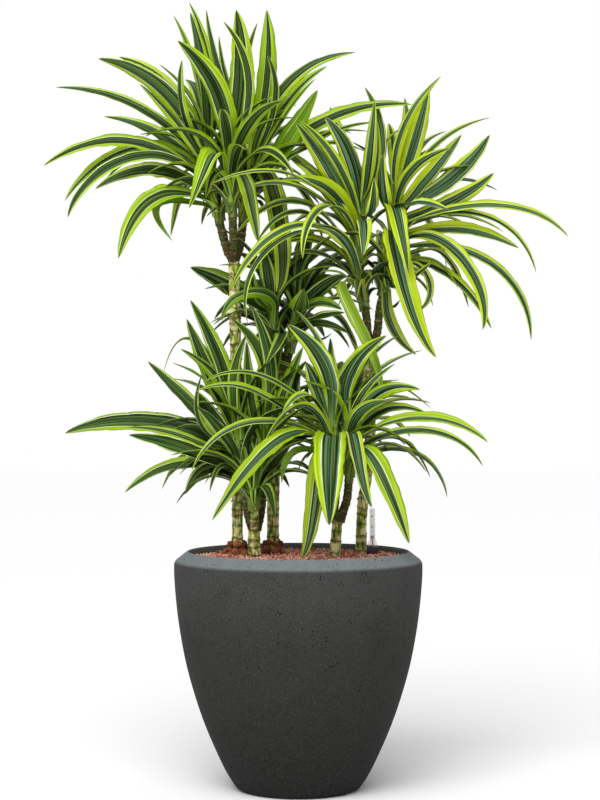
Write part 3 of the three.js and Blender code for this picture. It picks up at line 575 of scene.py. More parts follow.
class ShaderNodes(Nodes):
    """A material's node tree."""

    def attribute(self, name: str) -> Wire:
        """Reads a number that the mesh carries."""
        return self.add("ShaderNodeAttribute", {"attribute_name": name}, {}, "Fac")

    def position(self) -> Wire:
        """Reads the place on the piece, in metres."""
        return self.add("ShaderNodeTexCoord", {}, {}, "Object")

    def streaks(self, stretch: tuple[float, float, float], detail: float) -> Wire:
        """Adds a noise pattern with so many features in a metre along each axis of the piece."""
        return self.noise(self.vector_math("MULTIPLY", self.position(), stretch), 1.0, detail)

    def cells(self, scale: float) -> Wire:
        """Gives how far each place is from the nearest of the spots scattered over the piece."""
        values = {"Vector": self.position(), "Scale": scale}
        return self.add("ShaderNodeTexVoronoi", {"feature": "F1"}, values, "Distance")

    def mix(self, share: Value, first: Wire | str, second: Wire | str) -> Wire:
        """Mixes two colours.

        Args:
            share: How much of the second colour there is.
            first: A wire that carries a colour, or a colour as #rrggbb.
            second: The same.

        Returns:
            The mixed colour.
        """
        values: dict[int, Value] = {0: share}
        for key, colour in ((6, first), (7, second)):
            values[key] = paint(colour) if isinstance(colour, str) else colour
        return self.add("ShaderNodeMix", {"data_type": "RGBA"}, values, 2)

    def bump(self, height: Wire, distance: float) -> Wire:
        """Turns a height into a normal; a height of 1 stands for a distance, in metres."""
        values = {"Strength": 1.0, "Distance": distance, "Height": height}
        return self.add("ShaderNodeBump", {}, values)

    def principled(self, colour: Value, roughness: Value, normal: Wire | None = None,
                   specular: float = 0.5, alpha: Value = 1.0) -> Wire:
        """Adds the shader of a surface.

        Args:
            colour: Its base colour.
            roughness: Its roughness.
            normal: Its normal, where it has relief.
            specular: How strongly it mirrors; 0.5 is usual.
            alpha: How much it hides what is behind it.

        Returns:
            The shader.
        """
        values = {"Base Color": colour, "Roughness": roughness, "Normal": normal,
                  "Specular IOR Level": specular, "Alpha": alpha}
        return self.add("ShaderNodeBsdfPrincipled", {}, values)


class Plan(Nodes):
    """A Geometry Nodes tree with named inputs, which turns a carrier object into a plain mesh."""

    def __init__(self, name: str) -> None:
        """Makes the tree with its geometry sockets and its material input.

        Args:
            name: The tree's name.
        """
        super().__init__(bpy.data.node_groups.new(name, "GeometryNodeTree"))
        self.identifiers: dict[str, str] = {}
        for way in ("INPUT", "OUTPUT"):
            self.tree.interface.new_socket("Geometry", in_out=way, socket_type="NodeSocketGeometry")
        self.entry = self.tree.nodes.new("NodeGroupInput")
        self.exit = self.tree.nodes.new("NodeGroupOutput")
        self.finish = self.value("Finish", "NodeSocketMaterial")

    def value(self, name: str, kind: str = "NodeSocketFloat") -> Wire:
        """Adds a named input.

        Args:
            name: The input's name.
            kind: The type of its socket.

        Returns:
            The input inside the tree.
        """
        made = self.tree.interface.new_socket(name, in_out="INPUT", socket_type=kind)
        self.identifiers[name] = made.identifier
        return Wire(self, self.entry.outputs[name])

    def geometry(self) -> Wire:
        """Gives the carrier's own geometry."""
        return Wire(self, self.entry.outputs["Geometry"])

    def place(self) -> Wire:
        """Reads where each point is."""
        return self.add("GeometryNodeInputPosition")

    def read(self, name: str, kind: str = "FLOAT") -> Wire:
        """Reads what each point carries under a name."""
        settings = {"data_type": kind}
        return self.add("GeometryNodeInputNamedAttribute", settings, {"Name": name}, "Attribute")

    def keep(self, geometry: Wire, name: str, value: Value, kind: str = "FLOAT") -> Wire:
        """Writes a value on each point under a name.

        Args:
            geometry: What carries it.
            name: The value's name.
            value: The value.
            kind: Its type.

        Returns:
            The geometry with the value on it.
        """
        settings = {"data_type": kind, "domain": "POINT"}
        values = {"Geometry": geometry, "Name": name, "Value": value}
        return self.add("GeometryNodeStoreNamedAttribute", settings, values)

    def swept(self, sides: Wire) -> Wire:
        """Sweeps a ring of points along the carrier's lines.

        Args:
            sides: How many points the ring has.

        Returns:
            The closed skins. "turn" runs from 0 to 2 round each line, and "middle" holds each
            point's place on its line.
        """
        lines = self.keep(self.geometry(), "middle", self.place(), VECTOR)
        lines = self.add("GeometryNodeMeshToCurve", {}, {"Mesh": lines})
        skin = {"Curve": lines, "Profile Curve": self.ring(sides), "Fill Caps": True}
        return self.add("GeometryNodeCurveToMesh", {}, skin)

    def ring(self, sides: Wire) -> Wire:
        """Makes a closed ring of points that carries "turn", from 0 to 2 round it.

        Args:
            sides: How many points it has.

        Returns:
            The ring.
        """
        values = {"Resolution": sides, "Radius": MM}
        ring = self.add("GeometryNodeCurvePrimitiveCircle", {"mode": "RADIUS"}, values)
        return self.keep(ring, "turn", self.add("GeometryNodeInputIndex") / sides * 2.0)

    def section(self, out: Wire, rise: Wire) -> Wire:
        """Gives the way from a line to its skin: out along its "side" and up along its "lift"."""
        side = self.scaled(self.read("side", VECTOR), out)
        return self.moved(side, self.scaled(self.read("lift", VECTOR), rise))

    def put(self, geometry: Wire, way: Wire, kind: str = "Position") -> Wire:
        """Moves each point to a position, or by an "Offset"."""
        return self.add("GeometryNodeSetPosition", {}, {"Geometry": geometry, kind: way})

    def strewn(self, points: Wire, shape: Wire, turn: Wire, scale: Wire) -> Wire:
        """Sets a shape on each point.

        Args:
            points: The points.
            shape: The shape.
            turn: Its rotation at each point.
            scale: Its scale at each point.

        Returns:
            The shapes, made real.
        """
        values = {"Points": points, "Instance": shape, "Rotation": turn, "Scale": scale}
        shapes = self.add("GeometryNodeInstanceOnPoints", {}, values)
        return self.add("GeometryNodeRealizeInstances", {}, {"Geometry": shapes})

    def close(self, geometry: Wire) -> None:
        """Ends the tree: instances made real, faces shaded smooth and the finish put on.

        Args:
            geometry: What the tree has made.
        """
        made = self.add("GeometryNodeRealizeInstances", {}, {"Geometry": geometry})
        values = {"Geometry": made, "Shade Smooth": True}
        made = self.add("GeometryNodeSetShadeSmooth", {}, values)
        values = {"Geometry": made, "Material": self.finish}
        made = self.add("GeometryNodeSetMaterial", {}, values)
        self.tree.links.new(made.socket, self.exit.inputs["Geometry"])

    def grow(self, carrier: bpy.types.Object, name: str,
             values: dict[str, object]) -> bpy.types.Object:
        """Runs the tree on a carrier and keeps the result as a plain mesh.

        Args:
            carrier: The object that the tree starts from, which is then removed.
            name: The new piece's name.
            values: The tree's inputs, by name.

        Returns:
            The new piece.
        """
        modifier = carrier.modifiers.new(name, "NODES")
        modifier.node_group = self.tree
        for key, value in values.items():
            modifier[self.identifiers[key]] = value
        depsgraph = bpy.context.evaluated_depsgraph_get()
        mesh = bpy.data.meshes.new_from_object(
            carrier.evaluated_get(depsgraph), preserve_all_data_layers=True, depsgraph=depsgraph)
        bpy.data.objects.remove(carrier)
        mesh.name = name
        return shown(name, mesh)


# How closely the ring scars' unevenness varies along each axis.
RING_BANDS = (70.0, 70.0, 45.0)


class SweepPlan(Plan):
    """Round wood and sheaths: a ring swept along each line, swollen and roughened."""

    def __init__(self) -> None:
        """Builds the tree."""
        super().__init__("swept_wood")
        sides = self.value("Sides", "NodeSocketInt")
        rough = self.value("Roughness Depth")
        grain = self.value("Grain Scale")
        waver = self.value("Ring Waver")
        skin = self.swept(sides)
        angle = self.read("turn") * math.pi
        girth = self.read("girth")
        section = self.section(self.math("COSINE", angle) * girth, self.math("SINE", angle) * girth)
        skin = self.put(skin, self.moved(self.read("middle", VECTOR), section))
        here = self.place()
        lumps = (self.noise(self.scaled(here, grain), 1.0, 3.0) - 0.5) * rough
        outward = self.vector_math("NORMALIZE", section)
        bands = self.vector_math("MULTIPLY", here, RING_BANDS)
        up = self.vector(0.0, 0.0, (self.noise(bands, 1.0, 1.0) - 0.5) * waver)
        way = self.moved(self.scaled(outward, lumps), up)
        self.close(self.put(skin, self.moved(here, way)))


class BladePlan(Plan):
    """Leaf blades: a lens-shaped section swept along each midrib, grooved and waved."""

    def __init__(self) -> None:
        """Builds the tree."""
        super().__init__("leaf_blades")
        sides = self.value("Sides", "NodeSocketInt")
        thickness = self.value("Thickness")
        groove = self.value("Groove")
        wave = self.value("Margin Wave")
        wave_length = self.value("Wave Length")
        skin = self.swept(sides)
        turn = self.read("turn")
        half = self.read("half")
        cup = self.read("cup")
        along = self.read("along")
        across = 1.0 - abs(turn - 1.0) * 2.0
        face = self.math("SINE", turn * math.pi)
        bend = across * cup
        out = half * self.math("SINE", bend) / cup
        rise = half * (1.0 - self.math("COSINE", bend)) / cup
        channel = half * groove * (abs(across).smooth(-0.12, 0.5) - 1.0)
        reached = self.read("metres") / wave_length + self.read("chance") * 60.0
        margin_side = self.math("SIGN", across)
        window = along.smooth(0.1, 0.3) * along.fall(0.85, 1.0) * across * across
        ruffle = self.ripple(reached, margin_side * 3.7, 0.0) * window
        inset = self.ripple(reached, margin_side * 5.3, 9.0) * window
        out = out * (1.0 + inset * wave * 0.7)
        body = self.math("MINIMUM", thickness * 0.5, half * 0.25) * face
        section = self.section(out, rise + channel + half * wave * ruffle + body)
        skin = self.put(skin, self.moved(self.read("middle", VECTOR), section))
        self.close(self.keep(skin, "across", across))

    def ripple(self, along: Value, across: Value, layer: Value) -> Wire:
        """Gives a gentle noise about 0."""
        return self.noise(self.vector(along, across, layer), 1.0, 1.0) - 0.5


class TurnedPlan(Plan):
    """Turned pieces: the carrier's profile lines, spun about an upright axis."""

    def __init__(self) -> None:
        """Builds the tree."""
        super().__init__("turned")
        sides = self.value("Sides", "NodeSocketInt")
        axis = self.value("Axis", "NodeSocketVector")
        outline = self.keep(self.geometry(), "outline", self.place(), VECTOR)
        outline = self.add("GeometryNodeMeshToCurve", {}, {"Mesh": outline})
        values = {"Curve": self.ring(sides), "Profile Curve": outline}
        skin = self.add("GeometryNodeCurveToMesh", {}, values)
        angle = self.read("turn") * math.pi
        profile = self.axis(self.read("outline", VECTOR), "X")
        x = self.math("COSINE", angle) * profile
        y = self.math("SINE", angle) * profile
        skin = self.put(skin, self.moved(axis, self.vector(x, y, profile.also("Z"))))
        values = {"Geometry": skin, "Distance": 0.01 * MM}
        self.close(self.add("GeometryNodeMergeByDistance", {}, values))


# A grain's turn, in radians, its size along each axis and its depth, as shares of the grain size.
FULL_TURN = (6.28, 6.28, 6.28)
SMALLEST_GRAIN, LARGEST_GRAIN = (0.75, 0.7, 0.6), (1.3, 1.15, 1.0)
DEEPEST_GRAIN, HIGHEST_GRAIN = -0.3, 0.35
GRAIN_CROWDING = 1.2


class GrainPlan(Plan):
    """Small rough grains scattered over the carrier's faces, thinned where its "bare" is 1."""

    def __init__(self) -> None:
        """Builds the tree."""
        super().__init__("scattered_grains")
        size = self.value("Grain Size")
        spacing = self.value("Spacing")
        crush = self.value("Crush")
        seed = self.value("Seed", "NodeSocketInt")
        spread = {"Mesh": self.geometry(), "Distance Min": spacing,
                  "Density Max": GRAIN_CROWDING / (spacing * spacing),
                  "Density Factor": 1.0 - self.read("bare"), "Seed": seed}
        settings = {"distribute_method": "POISSON"}
        points = self.add("GeometryNodeDistributePointsOnFaces", settings, spread)
        points = self.keep(points, "chance", self.draw(0.0, 1.0, seed))
        values = {"Segments": 6, "Rings": 5, "Radius": size * 0.5}
        grain = self.add("GeometryNodeMeshUVSphere", {}, values)
        turn = self.draw((0.0, 0.0, 0.0), FULL_TURN, seed + 1, VECTOR)
        scale = self.draw(SMALLEST_GRAIN, LARGEST_GRAIN, seed + 2, VECTOR)
        jog = self.vector(0.0, 0.0, self.draw(DEEPEST_GRAIN, HIGHEST_GRAIN, seed + 3) * size)
        grains = self.strewn(self.put(points, jog, "Offset"), grain, turn, scale)
        dent = self.noise(self.place(), 260.0, 1.0, "Color")
        dent = self.scaled(self.moved(dent, (-0.5, -0.5, -0.5)), crush)
        self.close(self.put(grains, dent, "Offset"))

    def draw(self, low: Value, high: Value, seed: Value, kind: str = "FLOAT") -> Wire:
        """Draws a random value for each point.

        Args:
            low: The least it may be.
            high: The most it may be.
            seed: What the draw starts from.
            kind: The value's type.

        Returns:
            The value.
        """
        values = {"Min": low, "Max": high, "Seed": seed}
        return self.add("FunctionNodeRandomValue", {"data_type": kind}, values, "Value")


class PebblePlan(Plan):
    """Baked clay balls, one on each of the carrier's points, as large and turned as it says."""

    def __init__(self) -> None:
        """Builds the tree."""
        super().__init__("clay_balls")
        crush = self.value("Crush")
        pits = self.value("Pits")
        ball = self.add("GeometryNodeMeshIcoSphere", {}, {"Radius": 1.0, "Subdivisions": 4})
        balls = self.strewn(self.geometry(), ball, self.read("turn", VECTOR),
                            self.read("size", VECTOR))
        lumps = (self.noise(self.place(), 110.0, 1.0) - 0.5) * crush
        rough = (self.noise(self.place(), 420.0, 3.0) - 0.5) * pits
        way = self.scaled(self.add("GeometryNodeInputNormal"), lumps + rough)
        self.close(self.put(balls, way, "Offset"))


# ---------------------------------------------------------------- carriers and meshes

def shown(name: str, data: bpy.types.ID) -> bpy.types.Object:
    """Makes an object and puts it in the scene.

    Args:
        name: The object's name.
        data: Its mesh, light or camera.

    Returns:
        The object.
    """
    made = bpy.data.objects.new(name, data)
    bpy.context.scene.collection.objects.link(made)
    return made


def kept(work: bmesh.types.BMesh, name: str) -> bpy.types.Mesh:
    """Keeps a mesh that was being worked on.

    Args:
        work: The mesh at work, which is freed.
        name: The kept mesh's name.

    Returns:
        The kept mesh.
    """
    mesh = bpy.data.meshes.new(name)
    work.to_mesh(mesh)
    work.free()
    return mesh


@dataclass
class Line:
    """A line of points that a section is swept along, and what it carries at each point."""

    points: np.ndarray
    values: dict[str, np.ndarray]


def carrier(name: str, lines: Sequence[Line], is_joined: bool = True) -> bpy.types.Object:
    """Makes the object that a plan starts from.

    Args:
        name: The object's name.
        lines: Its lines, in mm.
        is_joined: Whether edges join the points of each line.

    Returns:
        An object whose mesh has only those points and edges, in metres.
    """
    mesh = bpy.data.meshes.new(name)
    points = np.concatenate([line.points for line in lines]) * MM
    edges: list[tuple[int, int]] = []
    start = 0
    for line in lines:
        if is_joined:
            edges += [(start + i, start + i + 1) for i in range(len(line.points) - 1)]
        start += len(line.points)
    mesh.from_pydata(points.tolist(), edges, [])
    for key in lines[0].values:
        column = np.concatenate([line.values[key] for line in lines]).astype(np.float32)
        is_vector = column.ndim == 2
        made = mesh.attributes.new(key, VECTOR if is_vector else "FLOAT", "POINT")
        made.data.foreach_set("vector" if is_vector else "value", column.ravel())
    return shown(name, mesh)


def tidied(piece: bpy.types.Object) -> bpy.types.Object:
    """Merges doubles, drops slivers and turns every closed skin's faces outwards.

    Args:
        piece: The piece.

    Returns:
        The same piece.
    """
    work = bmesh.new()
    work.from_mesh(piece.data)
    bmesh.ops.remove_doubles(work, verts=work.verts, dist=DOUBLE_WITHIN)
    bmesh.ops.dissolve_degenerate(work, edges=work.edges, dist=SLIVER_WITHIN)
    bmesh.ops.recalc_face_normals(work, faces=work.faces)
    work.to_mesh(piece.data)
    work.free()
    return piece


def upright_frames(points: np.ndarray) -> tuple[np.ndarray, np.ndarray]:
    """Finds two ways across a rising line.

    Args:
        points: The line's points.

    Returns:
        For each point, a vector across the line and another across both.
    """
    direction = unit(np.gradient(points, axis=0))
    side = unit(np.array([1.0, 0.0, 0.0]) - direction * direction[:, :1])
    return side, np.cross(direction, side)


class Body(Enum):
    """The bodies that a piece can ride on."""

    PLANTER = "planter"
    FLOAT = "float"


class Slot(Enum):
    """The finishes that the pieces stand for."""

    PLANTER = "planter"
    GRANULATE = "granulate"
    PEBBLES = "pebbles"
    CANE = "cane"
    LEAF = "leaf"
    GAUGE_BODY = "gauge_body"
    GAUGE_GLASS = "gauge_glass"
    GAUGE_FLOAT = "gauge_float"


def seat(piece: bpy.types.Object, body: Body, slot: Slot, *nodes: str) -> bpy.types.Object:
    """Puts a finished piece on its body.

    Args:
        piece: The piece.
        body: What it moves with.
        slot: The finish that it stands for; not used.
        nodes: The solids that it replaces.

    Returns:
        The same piece.
    """
    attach(piece, body.value)
    if nodes:
        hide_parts(*nodes)
    return piece


# ---------------------------------------------------------------- finishes

def paint(colour: str) -> tuple[float, float, float, float]:
    """Turns a colour as seen on a screen into the numbers that a shader works with.

    Args:
        colour: The colour, as #rrggbb.

    Returns:
        Its linear red, green and blue, and an alpha of 1.
    """
    seen = [int(colour[i:i + 2], 16) / 255 for i in (1, 3, 5)]
    red, green, blue = (c / 12.92 if c <= 0.04045 else ((c + 0.055) / 1.055) ** 2.4 for c in seen)
    return red, green, blue, 1.0


@dataclass(frozen=True)
class Finish:
    """The finish of a surface; each kind works out its own shader."""

    name: str

    def material(self) -> bpy.types.Material:
        """Makes the material.

        Returns:
            A material whose tree holds only this finish.
        """
        made = bpy.data.materials.new(self.name)
        made.use_nodes = True
        made.node_tree.nodes.clear()
        nodes = ShaderNodes(made.node_tree)
        nodes.add("ShaderNodeOutputMaterial", {}, {"Surface": self.surface(nodes)})
        return made

    def surface(self, nodes: ShaderNodes) -> Wire:
        """Builds the shader in a material's tree."""
        raise NotImplementedError


@dataclass(frozen=True)
class StoneFinish(Finish):
    """Cast stone: charcoal, pitted, with light grit. Painted shade darkens it towards its foot, in
    its pits and in its fine hollows; painted light brightens its top, and a painted highlight lies
    on its rim.
    """

    # Painted shade and light: the wall runs from a darker foot to a lighter top, as the light falls
    # on it.
    foot: str = "#232322"
    body: str = "#31312f"
    top: str = "#3e3e3d"
    cloud: str = "#282827"
    # Painted highlight on the sloping rim, where light from above falls.
    rim_highlight: str = "#6f7576"
    grit: str = "#6f7371"
    # Painted shade in the pits and fine hollows.
    hollow_shade: str = "#0d0d0c"
    rim_from: float = 0.391
    rim_to: float = 0.398
    cloud_scale: float = 16.0
    grit_scale: float = 620.0
    small_pits: float = 300.0
    large_pits: float = 110.0
    depth: float = 0.0006

    def surface(self, nodes: ShaderNodes) -> Wire:
        """Mixes clouds, grit, pits, painted shade and painted light over the body colour.

        Args:
            nodes: The material's tree.

        Returns:
            The shader.
        """
        here = nodes.position()
        height = nodes.axis(here, "Z")
        # Painted shade towards the foot, painted light towards the top.
        colour = nodes.mix(height.smooth(0.0, 0.26), self.foot, self.body)
        colour = nodes.mix(height.smooth(0.24, 0.38), colour, self.top)
        clouds = nodes.noise(here, self.cloud_scale, 5.0).smooth(0.45, 0.75)
        colour = nodes.mix(clouds * 0.35, colour, self.cloud)
        # Painted highlight: the rim band is much paler than the wall.
        colour = nodes.mix(height.smooth(self.rim_from, self.rim_to), colour, self.rim_highlight)
        fine = nodes.noise(here, self.grit_scale, 3.0)
        colour = nodes.mix(fine.smooth(0.58, 0.72) * 0.4, colour, self.grit)
        # Painted shade in the fine hollows, where the bump dips.
        colour = nodes.mix(fine.fall(0.3, 0.45) * 0.4, colour, self.hollow_shade)
        patches = nodes.noise(here, 30.0, 3.0).smooth(0.4, 0.56)
        sparse = nodes.noise(here, 38.0, 2.0).smooth(0.56, 0.62)
        small = nodes.cells(self.small_pits).fall(0.12, 0.27) * patches
        large = nodes.cells(self.large_pits).fall(0.1, 0.22) * sparse
        pits = nodes.math("MAXIMUM", small, large)
        # Painted shade in the pits.
        colour = nodes.mix(pits * 0.9, colour, self.hollow_shade)
        relief = fine * 0.35 + nodes.noise(here, 90.0, 3.0) * 0.5 - pits * 1.6
        return nodes.principled(colour, 0.9 - fine * 0.1, nodes.bump(relief, self.depth), 0.12)


@dataclass(frozen=True)
class ClayFinish(Finish):
    """Baked clay: each grain or ball has its own tone, with painted shade in its pores."""

    dark: str = "#a04c38"
    light: str = "#ffc4aa"
    # Painted shade in the pores.
    pore_shade: str = "#40180f"
    grain: float = 700.0
    depth: float = 0.0007

    def surface(self, nodes: ShaderNodes) -> Wire:
        """Gives each grain its tone, paints shade in its pores and roughens it.

        Args:
            nodes: The material's tree.

        Returns:
            The shader.
        """
        colour = nodes.mix(nodes.attribute("chance"), self.dark, self.light)
        fine = nodes.noise(nodes.position(), self.grain, 3.0)
        # Painted shade where the bump dips, in the pores.
        colour = nodes.mix(fine.fall(0.32, 0.52) * 0.6, colour, self.pore_shade)
        return nodes.principled(colour, 0.95 - fine * 0.1, nodes.bump(fine, self.depth), 0.2)


@dataclass(frozen=True)
class BarkFinish(Finish):
    """Cream and green wood between tan ring scars, with a painted shadow under each scar and
    painted shade in the bark's hollows, dark and brown where "tone" is high.
    """

    green: str = "#9bb042"
    deep: str = "#4a6418"
    cream: str = "#ece09c"
    brown: str = "#4c3418"
    moss: str = "#47541a"
    scar: str = "#b5855c"
    # Painted shade: the shadow under each ring scar and the dark of the bark's hollows.
    painted_shade: str = "#20140b"
    streak_scale: tuple[float, float, float] = (330.0, 330.0, 42.0)
    patch_scale: tuple[float, float, float] = (120.0, 120.0, 60.0)
    bark_scale: float = 240.0
    depth: float = 0.0008

    def surface(self, nodes: ShaderNodes) -> Wire:
        """Mixes streaked patches, ring scars, painted shadows under the scars, painted shade in the
        bark's hollows and the brown of older bark.

        Args:
            nodes: The material's tree.

        Returns:
            The shader.
        """
        tone = nodes.attribute("tone")
        streak = nodes.streaks(self.streak_scale, 3.0)
        patch = nodes.streaks(self.patch_scale, 2.0)
        colour = nodes.mix(streak.smooth(0.36, 0.62), self.deep, self.green)
        creamy = patch.smooth(0.45, 0.56) * streak.smooth(0.3, 0.5)
        colour = nodes.mix(creamy, colour, self.cream)
        # Painted shadow just below each ring scar.
        colour = nodes.mix(nodes.attribute("scar_shadow") * 0.6, colour, self.painted_shade)
        rough = nodes.noise(nodes.position(), self.bark_scale, 4.0)
        browned = (tone + (patch - 0.5) * 2.0).smooth(0.75, 1.2)
        bark = nodes.mix(browned, self.moss, self.brown)
        # Painted shade where the bump dips, in the bark's hollows.
        bark = nodes.mix(rough.fall(0.36, 0.56) * 0.8, bark, self.painted_shade)
        colour = nodes.mix((tone + (rough - 0.5) * 0.6).smooth(0.22, 0.44), colour, bark)
        worn = nodes.mix(rough.smooth(0.35, 0.6), self.brown, self.scar)
        scarred = nodes.attribute("ring").smooth(0.35, 0.75) * (1.0 - tone * 0.7)
        colour = nodes.mix(scarred, colour, worn)
        relief = nodes.bump(rough * 0.6 + streak * 0.4, self.depth)
        return nodes.principled(colour, 0.6 + rough * 0.3, relief, 0.25)


@dataclass(frozen=True)
class LeafFinish(Finish):
    """A striped leaf: a dark streaked middle with a painted sheen, between thin white lines, and
    lime margins.

    Each leaf's "chance" sets the width, the place and the shades of its stripes; a leaf whose
    chance is above 0.9 is nearly plain.
    """

    lime: str = "#96b004"
    bright: str = "#cade2a"
    deep: str = "#0f2200"
    green: str = "#2a4709"
    # Painted sheen: a grey-green reflection painted over the dark middle.
    painted_sheen: str = "#668c74"
    line: str = "#f2f6d8"
    pale: str = "#95b350"
    plain: str = "#5f9010"
    dull: str = "#48421f"
    tip: str = "#7a5a30"
    band: float = 0.47
    band_spread: float = 0.44
    plain_above: float = 0.9
    depth: float = 0.0005

    def surface(self, nodes: ShaderNodes) -> Wire:
        """Lays the stripes along the blade by the places that it carries.

        Args:
            nodes: The material's tree.

        Returns:
            The shader.
        """
        across = nodes.attribute("across")
        along = nodes.attribute("along")
        chance = nodes.attribute("chance")

        def pattern(x: Value, y: Value, z: Value, detail: float) -> Wire:
            """Reads a noise pattern that is laid along the blade."""
            return nodes.noise(nodes.vector(x, y, z), 1.0, detail)

        other = pattern(chance * 57.0, 3.0, 0.0, 0.0).smooth(0.25, 0.75)
        drift = pattern(along * 2.2, chance * 40.0, 0.0, 1.0) - 0.5
        reach = abs(across + drift * 0.2 + (chance - 0.5) * 0.46)
        plain = chance.smooth(self.plain_above, self.plain_above + 0.03)
        edge = other * self.band_spread + (self.band - 0.2)
        middle = reach.fall(edge - 0.015, edge + 0.015) * (1.0 - plain * 0.75)
        streaks = pattern(across * 7.0 + chance * 70.0, along * 0.8, 0.0, 2.0)
        threads = pattern(across * 17.0 + chance * 90.0, along * 0.5, 3.0, 1.0)
        green = nodes.mix(streaks.smooth(0.35, 0.6), self.deep, self.green)
        # Painted sheen over the streaks of the dark middle.
        green = nodes.mix(streaks.smooth(0.44, 0.66) * (other * 0.6 + 0.4), green, self.painted_sheen)
        green = nodes.mix(threads.smooth(0.56, 0.66) * 0.5, green, self.pale)
        patches = pattern(across * 5.0 + chance * 30.0, along * 1.6, 7.0, 2.0)
        tint = (patches + (other - 0.5) * 0.25).smooth(0.3, 0.7)
        margin = nodes.mix(tint * (1.0 - plain * 0.5), self.lime, self.bright)
        margin = nodes.mix(plain * 0.5, margin, self.plain)
        margin = nodes.mix(threads.smooth(0.62, 0.68) * reach.fall(0.7, 0.9) * 0.5, margin, green)
        colour = nodes.mix(middle, margin, green)
        width = other * 0.02 + 0.024
        line = abs(reach - edge - 0.02).fall(width * 0.65, width)
        faint = pattern(along * 4.0, chance * 50.0, across * 1.5, 1.0).smooth(0.38, 0.58)
        colour = nodes.mix(line * (faint * 0.6 + 0.2), colour, self.line)
        colour = nodes.mix(along.fall(0.03, 0.2) * 0.45, colour, self.pale)
        old = (0.2 - nodes.attribute("age")).smooth(0.0, 0.3)
        colour = nodes.mix(old * 0.5, colour, self.dull)
        dry = along.smooth(0.968, 0.985) * other.smooth(0.6, 0.65)
        colour = nodes.mix(dry, colour, self.tip)
        relief = nodes.bump(streaks + threads * 0.4, self.depth)
        return nodes.principled(colour, 0.4 + streaks * 0.12, relief, 0.12)


@dataclass(frozen=True)
class SheathFinish(Finish):
    """Young stem under the leaf bases: green, with brown remains of older bases."""

    green: str = "#66802c"
    deep: str = "#22330c"
    brown: str = "#4c3a22"
    streak_scale: tuple[float, float, float] = (300.0, 300.0, 60.0)
    depth: float = 0.0004

    def surface(self, nodes: ShaderNodes) -> Wire:
        """Streaks the stem lengthwise and browns its rings.

        Args:
            nodes: The material's tree.

        Returns:
            The shader.
        """
        streak = nodes.streaks(self.streak_scale, 3.0)
        colour = nodes.mix(streak.smooth(0.35, 0.65), self.deep, self.green)
        colour = nodes.mix(nodes.attribute("ring").smooth(0.3, 0.8) * 0.7, colour, self.brown)
        return nodes.principled(colour, 0.5 + streak * 0.2, nodes.bump(streak, self.depth))


@dataclass(frozen=True)
class PlasticFinish(Finish):
    """Moulded plastic, one colour with a faint mottle and small scuffs."""

    colour: str = "#4a3648"
    scuff: str = "#6a5a6b"
    gloss: float = 0.3
    mottle_scale: float = 400.0
    depth: float = 0.00005

    def surface(self, nodes: ShaderNodes) -> Wire:
        """Mottles the colour and lets the gloss vary.

        Args:
            nodes: The material's tree.

        Returns:
            The shader.
        """
        mottle = nodes.noise(nodes.position(), self.mottle_scale, 3.0)
        colour = nodes.mix(mottle.smooth(0.55, 0.75) * 0.5, self.colour, self.scuff)
        return nodes.principled(colour, self.gloss + mottle * 0.15, nodes.bump(mottle, self.depth))


@dataclass(frozen=True)
class ClearFinish(Finish):
    """Clear plastic, faintly hazed, with small level marks printed on its front."""

    colour: str = "#f4f0f6"
    ink: str = "#f4cc34"
    haze: float = 0.25
    levels: tuple[float, ...] = (0.448, 0.467)
    half_height: float = 0.0012
    left: float = 0.1295
    right: float = 0.1335
    front: float = 0.08
    blur: float = 0.0002
    cloud_scale: float = 300.0

    def surface(self, nodes: ShaderNodes) -> Wire:
        """Lets part of the light through, and none through the print.

        Args:
            nodes: The material's tree.

        Returns:
            The shader.
        """
        here = nodes.position()
        cloud = nodes.noise(here, self.cloud_scale, 2.0)
        across = nodes.axis(here, "X")
        window = across.smooth(self.left - self.blur, self.left)
        window = window * across.fall(self.right, self.right + self.blur)
        window = window * across.also("Y").fall(self.front - self.blur, self.front)
        marked = 0.0
        for level in self.levels:
            away = abs(across.also("Z") - level)
            marked = marked + away.fall(self.half_height - self.blur, self.half_height) * window
        colour = nodes.mix(marked, self.colour, self.ink)
        alpha = nodes.math("MAXIMUM", cloud * 0.03 + self.haze, marked)
        return nodes.principled(colour, 0.08 + cloud * 0.08, alpha=alpha)


@dataclass(frozen=True)
class FloorFinish(Finish):
    """Plain pale board."""

    grey: float = 0.93

    def surface(self, nodes: ShaderNodes) -> Wire:
        """Gives the board one even colour."""
        return nodes.principled((self.grey, self.grey, self.grey, 1.0), 0.9)


# ---------------------------------------------------------------- the planter and its fill

def rounded(points: Sequence[tuple[float, float]], steps: int) -> np.ndarray:
    """Rounds an outline through its points.

    Args:
        points: The outline's points.
        steps: How many pieces each stretch is cut into.

    Returns:
        Points of a centripetal curve through them all.
    """
    knots = np.array(points, float)
    spans = np.sqrt(np.linalg.norm(np.diff(knots, axis=0), axis=1))
    at = np.concatenate([[0.0], np.cumsum(spans)])
    slope = np.gradient(knots, at, axis=0)
    t = np.linspace(0, 1, steps, endpoint=False)[:, None]
    made = [bent(knots, slope, i, at[i + 1] - at[i], t) for i in range(len(knots) - 1)]
    return np.concatenate([*made, knots[-1:]])


def profile_line(points: np.ndarray) -> Line:
    """Stands an outline of (radius, height) pairs upright, as a line to spin."""
    return Line(np.stack([points[:, 0], np.zeros(len(points)), points[:, 1]], axis=1), {})


